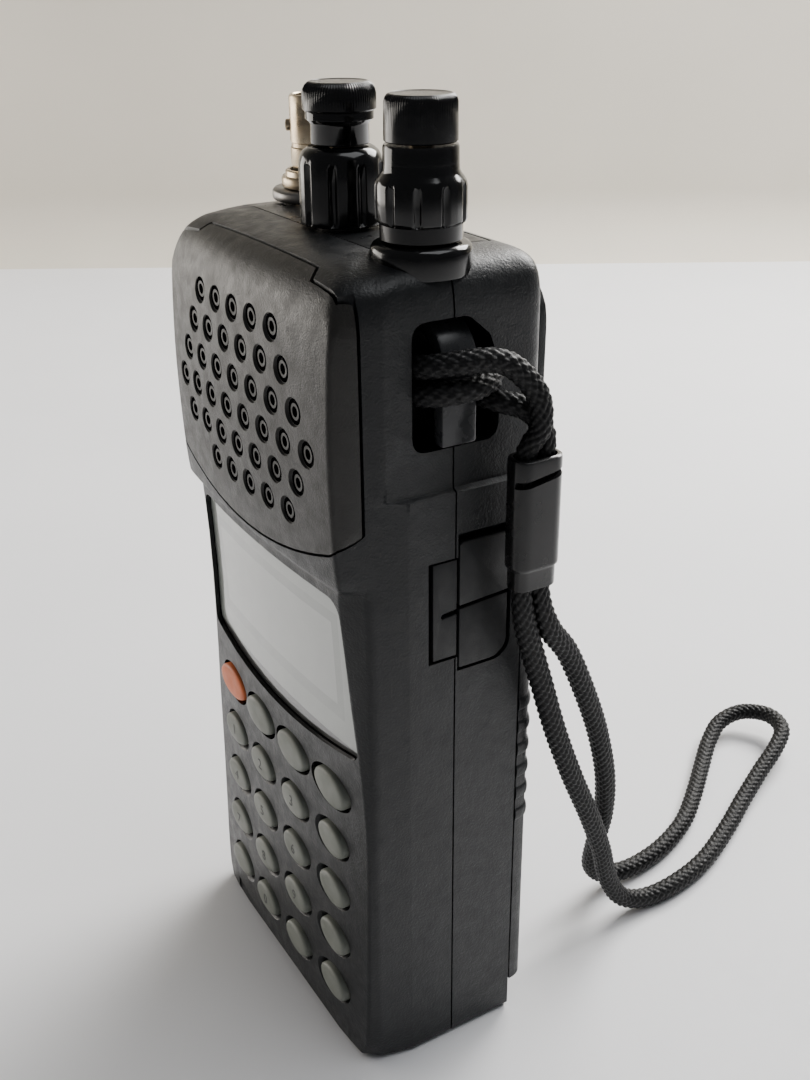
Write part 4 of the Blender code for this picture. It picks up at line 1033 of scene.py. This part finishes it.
def make_aerial_jack(metal, steel):
    """The jack's barrel with its two bayonet studs, and the ring nut and washer round it."""
    place = (*AERIAL_AT, 0)
    barrel = [
        (4.05, 151.8), (2.4, 151.8), (2.4, 136.2), (4.5, 136.2), (4.5, 150.4), (4.8, 150.8), (4.8, 153.6),
        (4.62, 153.8), (4.62, 154.4), (4.8, 154.6), (4.8, 161.9), (4.6, 162.25), (4.25, 162.3), (4.05, 162.1),
    ]
    steps = []
    for side in (60, 240):
        stud = turned([(1.0, 4.3), (1.0, 5.3), (0.85, 5.5), (0.5, 5.58)], (0, 0, 0), "x", 24)
        matrix = Matrix.Translation((*AERIAL_AT, 157.2)) @ Matrix.Rotation(math.radians(side), 4, "Z")
        bmesh.ops.transform(stud, matrix=matrix, verts=stud.verts)
        steps.append(("UNION", stud))
    mesh = shaped(turned(barrel, place, sides=72, hollow=True), steps, metal)
    piece("bnc_jack_barrel", mesh, metal, "radio", ("bnc_jack",), "nickel", smooth=40)
    nut = [
        (5.1, 147.2), (6.45, 147.2), (6.6, 147.4), (6.6, 148.6), (6.4, 148.9), (5.95, 149.0), (5.85, 149.8),
        (5.6, 150.0), (5.1, 150.0),
    ]
    shape = turned(nut, place, sides=96, hollow=True)
    piece("bnc_nut_ring", shape, metal, "radio", ("bnc_nut",), "nickel", smooth=40)
    washer = [(5.1, 145.1), (8.1, 145.1), (8.3, 145.3), (8.3, 146.5), (8.0, 146.85), (5.1, 146.9)]
    shape = turned(washer, place, sides=96, hollow=True)
    piece("bnc_washer_ring", shape, steel, "radio", ("bnc_washer",), "steel", smooth=50)


# ---------------------------------------------------------------- right side and back


def make_strap_bar(material):
    """A flat bow: upright over most of its height, then curving in to the top of the eye."""
    outer = [
        (32.5, 117.7), (32.5, 124), (32.65, 127.6), (32.7, 129.4), (32.62, 130.5), (32.4, 131.5),
        (32.0, 132.5), (31.4, 133.5), (30.6, 134.4), (29.6, 135.2), (28.5, 135.8), (27.2, 136.25),
        (25.8, 136.5), (24.7, 136.6),
    ]
    inner = [
        (24.7, 134.1), (26.4, 133.75), (27.6, 133.2), (28.6, 132.4), (29.3, 131.4), (29.75, 130.2),
        (29.9, 129), (29.9, 117.7),
    ]
    bar = shaped(prism(outer + inner, 0.4, 6.5, "y"), [], None, 0.5)
    piece("strap_bar_bow", bar, material, "radio", ("strap_bar",), "knob", smooth=40)


def make_jack_cover(rubber):
    """A fixed spine with a flap for each jack. Each outline is (y, z)."""
    low, high = 30.9, 32.4
    slit = [(3.3, 89.35), (0.6, 89.05), (0.35, 89.45), (0.6, 89.9), (3.3, 90.25)]
    spine = [(-1.1, 81.9), (3.3, 81.9), *slit, (3.3, 98.9), (-1.1, 98.9)]
    com = [(3.8, 90.6), (13.2, 91.2), (13.2, 100.4), (12.8, 101.3), (12.0, 101.6), (4.4, 101.6), (3.8, 101.2)]
    dc = [(3.8, 90.0), (3.8, 79.3), (9.8, 79.3)]
    for i in range(1, 7):
        t = math.radians(15 * i)
        dc.append((9.8 + 3.2 * math.sin(t), 82.5 - 3.2 * math.cos(t)))
    dc.append((13.0, 90.6))
    for node, body, outline, bevel in (
        ("jack_cover_spine", "radio", spine, 0.12),
        ("com_flap", "com_flap", com, 0.18),
        ("dc_flap", "dc_flap", dc, 0.18),
    ):
        shape = prism(outline, low, high, "x")
        piece(node + "_skin", shape, rubber, body, (node,), "cover_rubber", bevel=bevel)


def make_sleeve(material):
    """A flattened plastic tube round the doubled cord, with a slot near its top and a narrow foot."""
    x, y = 38.8, 12.7
    levels = [
        (95.0, -0.5), (95.2, -0.44), (98.1, -0.44), (98.4, -0.3), (98.7, -0.04), (99.1, 0.0), (112.3, 0.0),
        (115.9, 0.0), (116.35, -0.08), (116.5, -0.3),
    ]
    rings = []
    for z, grow in levels:
        outline = round_corners(x - 2.6 - grow, y - 4.3 - grow, x + 2.6 + grow, y + 4.3 + grow, 2.3 + grow, 8)
        rings.append([(u, v, z) for u, v in outline])
    inner = prism(round_corners(x - 1.85, y - 3.55, x + 1.85, y + 3.55, 1.6, 8), 80, 130)
    slot = box((0, -6, -0.55), (6, 6, 0.55))
    matrix = Matrix.Translation((x + 0.9, y - 0.2, 113.3)) @ Matrix.Rotation(math.radians(9), 4, "X")
    bmesh.ops.transform(slot, matrix=matrix, verts=slot.verts)
    mesh = shaped(loft(rings), [("DIFFERENCE", inner), ("DIFFERENCE", slot)], material)
    return piece("strap_sleeve_tube", mesh, material, "radio", ("strap_sleeve",), "knob", smooth=40)


def make_clip(material):
    """A sprung plate with a curled foot and two lugs for its pin. The profile is (y, z)."""
    profile = [
        (27.0, 137.8), (27.7, 137.8), (28.3, 137.5), (28.8, 136.7), (29.1, 135.4), (29.4, 132), (29.5, 128),
        (29.4, 119), (29.1, 110), (28.1, 102), (26.6, 95), (25.0, 92), (23.4, 90.2), (22.2, 89.4),
        (20.9, 89.2), (20.2, 89.8), (20.0, 91.0), (20.1, 92.0), (20.6, 92.8), (21.6, 93.0), (22.9, 93.5),
        (24.6, 96), (26.1, 102), (27.1, 110), (27.4, 119), (27.5, 128), (27.5, 132), (27.3, 136.0),
    ]
    steps = []
    for side in (-1, 1):
        steps.append(("UNION", box((side * 5.8 - 1.1, 22.0, 126.2), (side * 5.8 + 1.1, 28.4, 129.8))))
    steps.append(("DIFFERENCE", rod((-14, 23.2, 128), 28, 1.0, "x")))
    half = 18.5
    steps.append(("INTERSECT", prism(round_corners(-half, 80, half, 137.9, 8.0), 15, 40, "y")))
    mesh = shaped(prism(profile, -half, half, "x"), steps, material, 0.3)
    piece("belt_clip_plate", mesh, material, "belt_clip", ("belt_clip",), "case", smooth=38)


def make_side_key(rubber):
    rings = []
    for x, grow in ((-33.4, -0.9), (-33.3, -0.45), (-33.05, -0.12), (-32.7, 0.0), (-29.2, 0.0)):
        outline = round_corners(-4.2 - grow, 85.4 - grow, 0.8 + grow, 103.6 + grow, 2.3 + grow, 8)
        rings.append([(x, u, v) for u, v in outline])
    piece("side_key_cap", loft(rings), rubber, "side_key", ("side_key",), "cover_rubber", smooth=60)


# ---------------------------------------------------------------- all together


REPAINTED = {
    "panel_plastic": ["knob_panel"],
    "case_plastic": ["clip_base"],
    "washer_steel": ["com_jack", "speaker_driver", "case_screw_left", "case_screw_right", "clip_pin"],
    "dull_bushing": ["left_control", "right_control"],
    "aged_nickel": ["bnc_contact"],
    "cover_rubber": ["dc_jack"],
    "board_green": ["logic_board", "main_board"],
    "insulator": ["bnc_insulator", "battery_terminals"],
    "key_rubber": ["lcd_module"],
    "cell_film": ["battery_pack"],
    "speaker_cloth": ["speaker_cloth"],
}


def repaint(names, material):
    """Gives CAD nodes that stay visible their finish."""
    for name in names:
        slots = NODES[name].data.materials
        if slots:
            for i in range(len(slots)):
                slots[i] = material
        else:
            slots.append(material)


def main():
    make_camera()
    make_stage()
    looks = {name: finish(name, **values) for name, values in FINISHES.items()}
    case = looks["case_plastic"]
    gloss = looks["knob_gloss"]
    rubber = looks["cover_rubber"]
    keys = looks["key_rubber"]
    nickel = looks["aged_nickel"]
    steel = looks["washer_steel"]
    braid = braid_finish()

    sleeve = make_sleeve(looks["sleeve_gloss"])
    braided_cord("eye_cord_braid", EYE_CORD_ROUTE, TURN_RADIUS, braid)
    braided_cord("wrist_cord_braid", WRIST_CORD_ROUTE, CORD_RADIUS, braid)

    make_front_shell(case, gloss)
    make_rear_shell(case)
    make_pad(looks["pad_plastic"], looks["hole_gloss_and_shade"])
    make_door(case)
    make_display(display_finish())
    make_keys(keys, looks["orange_rubber"], looks["key_ink"])
    make_left_knobs(gloss, knob_top_finish("left_cap_gloss", LEFT_KNOB_AT), nickel)
    make_right_knobs(gloss, knob_top_finish("right_cap_gloss", RIGHT_KNOB_AT), nickel)
    make_aerial_jack(nickel, steel)
    make_strap_bar(looks["bar_plastic_painted_light"])
    make_jack_cover(rubber)
    make_clip(case)
    make_side_key(rubber)

    for look, names in REPAINTED.items():
        repaint(names, looks[look])


main()
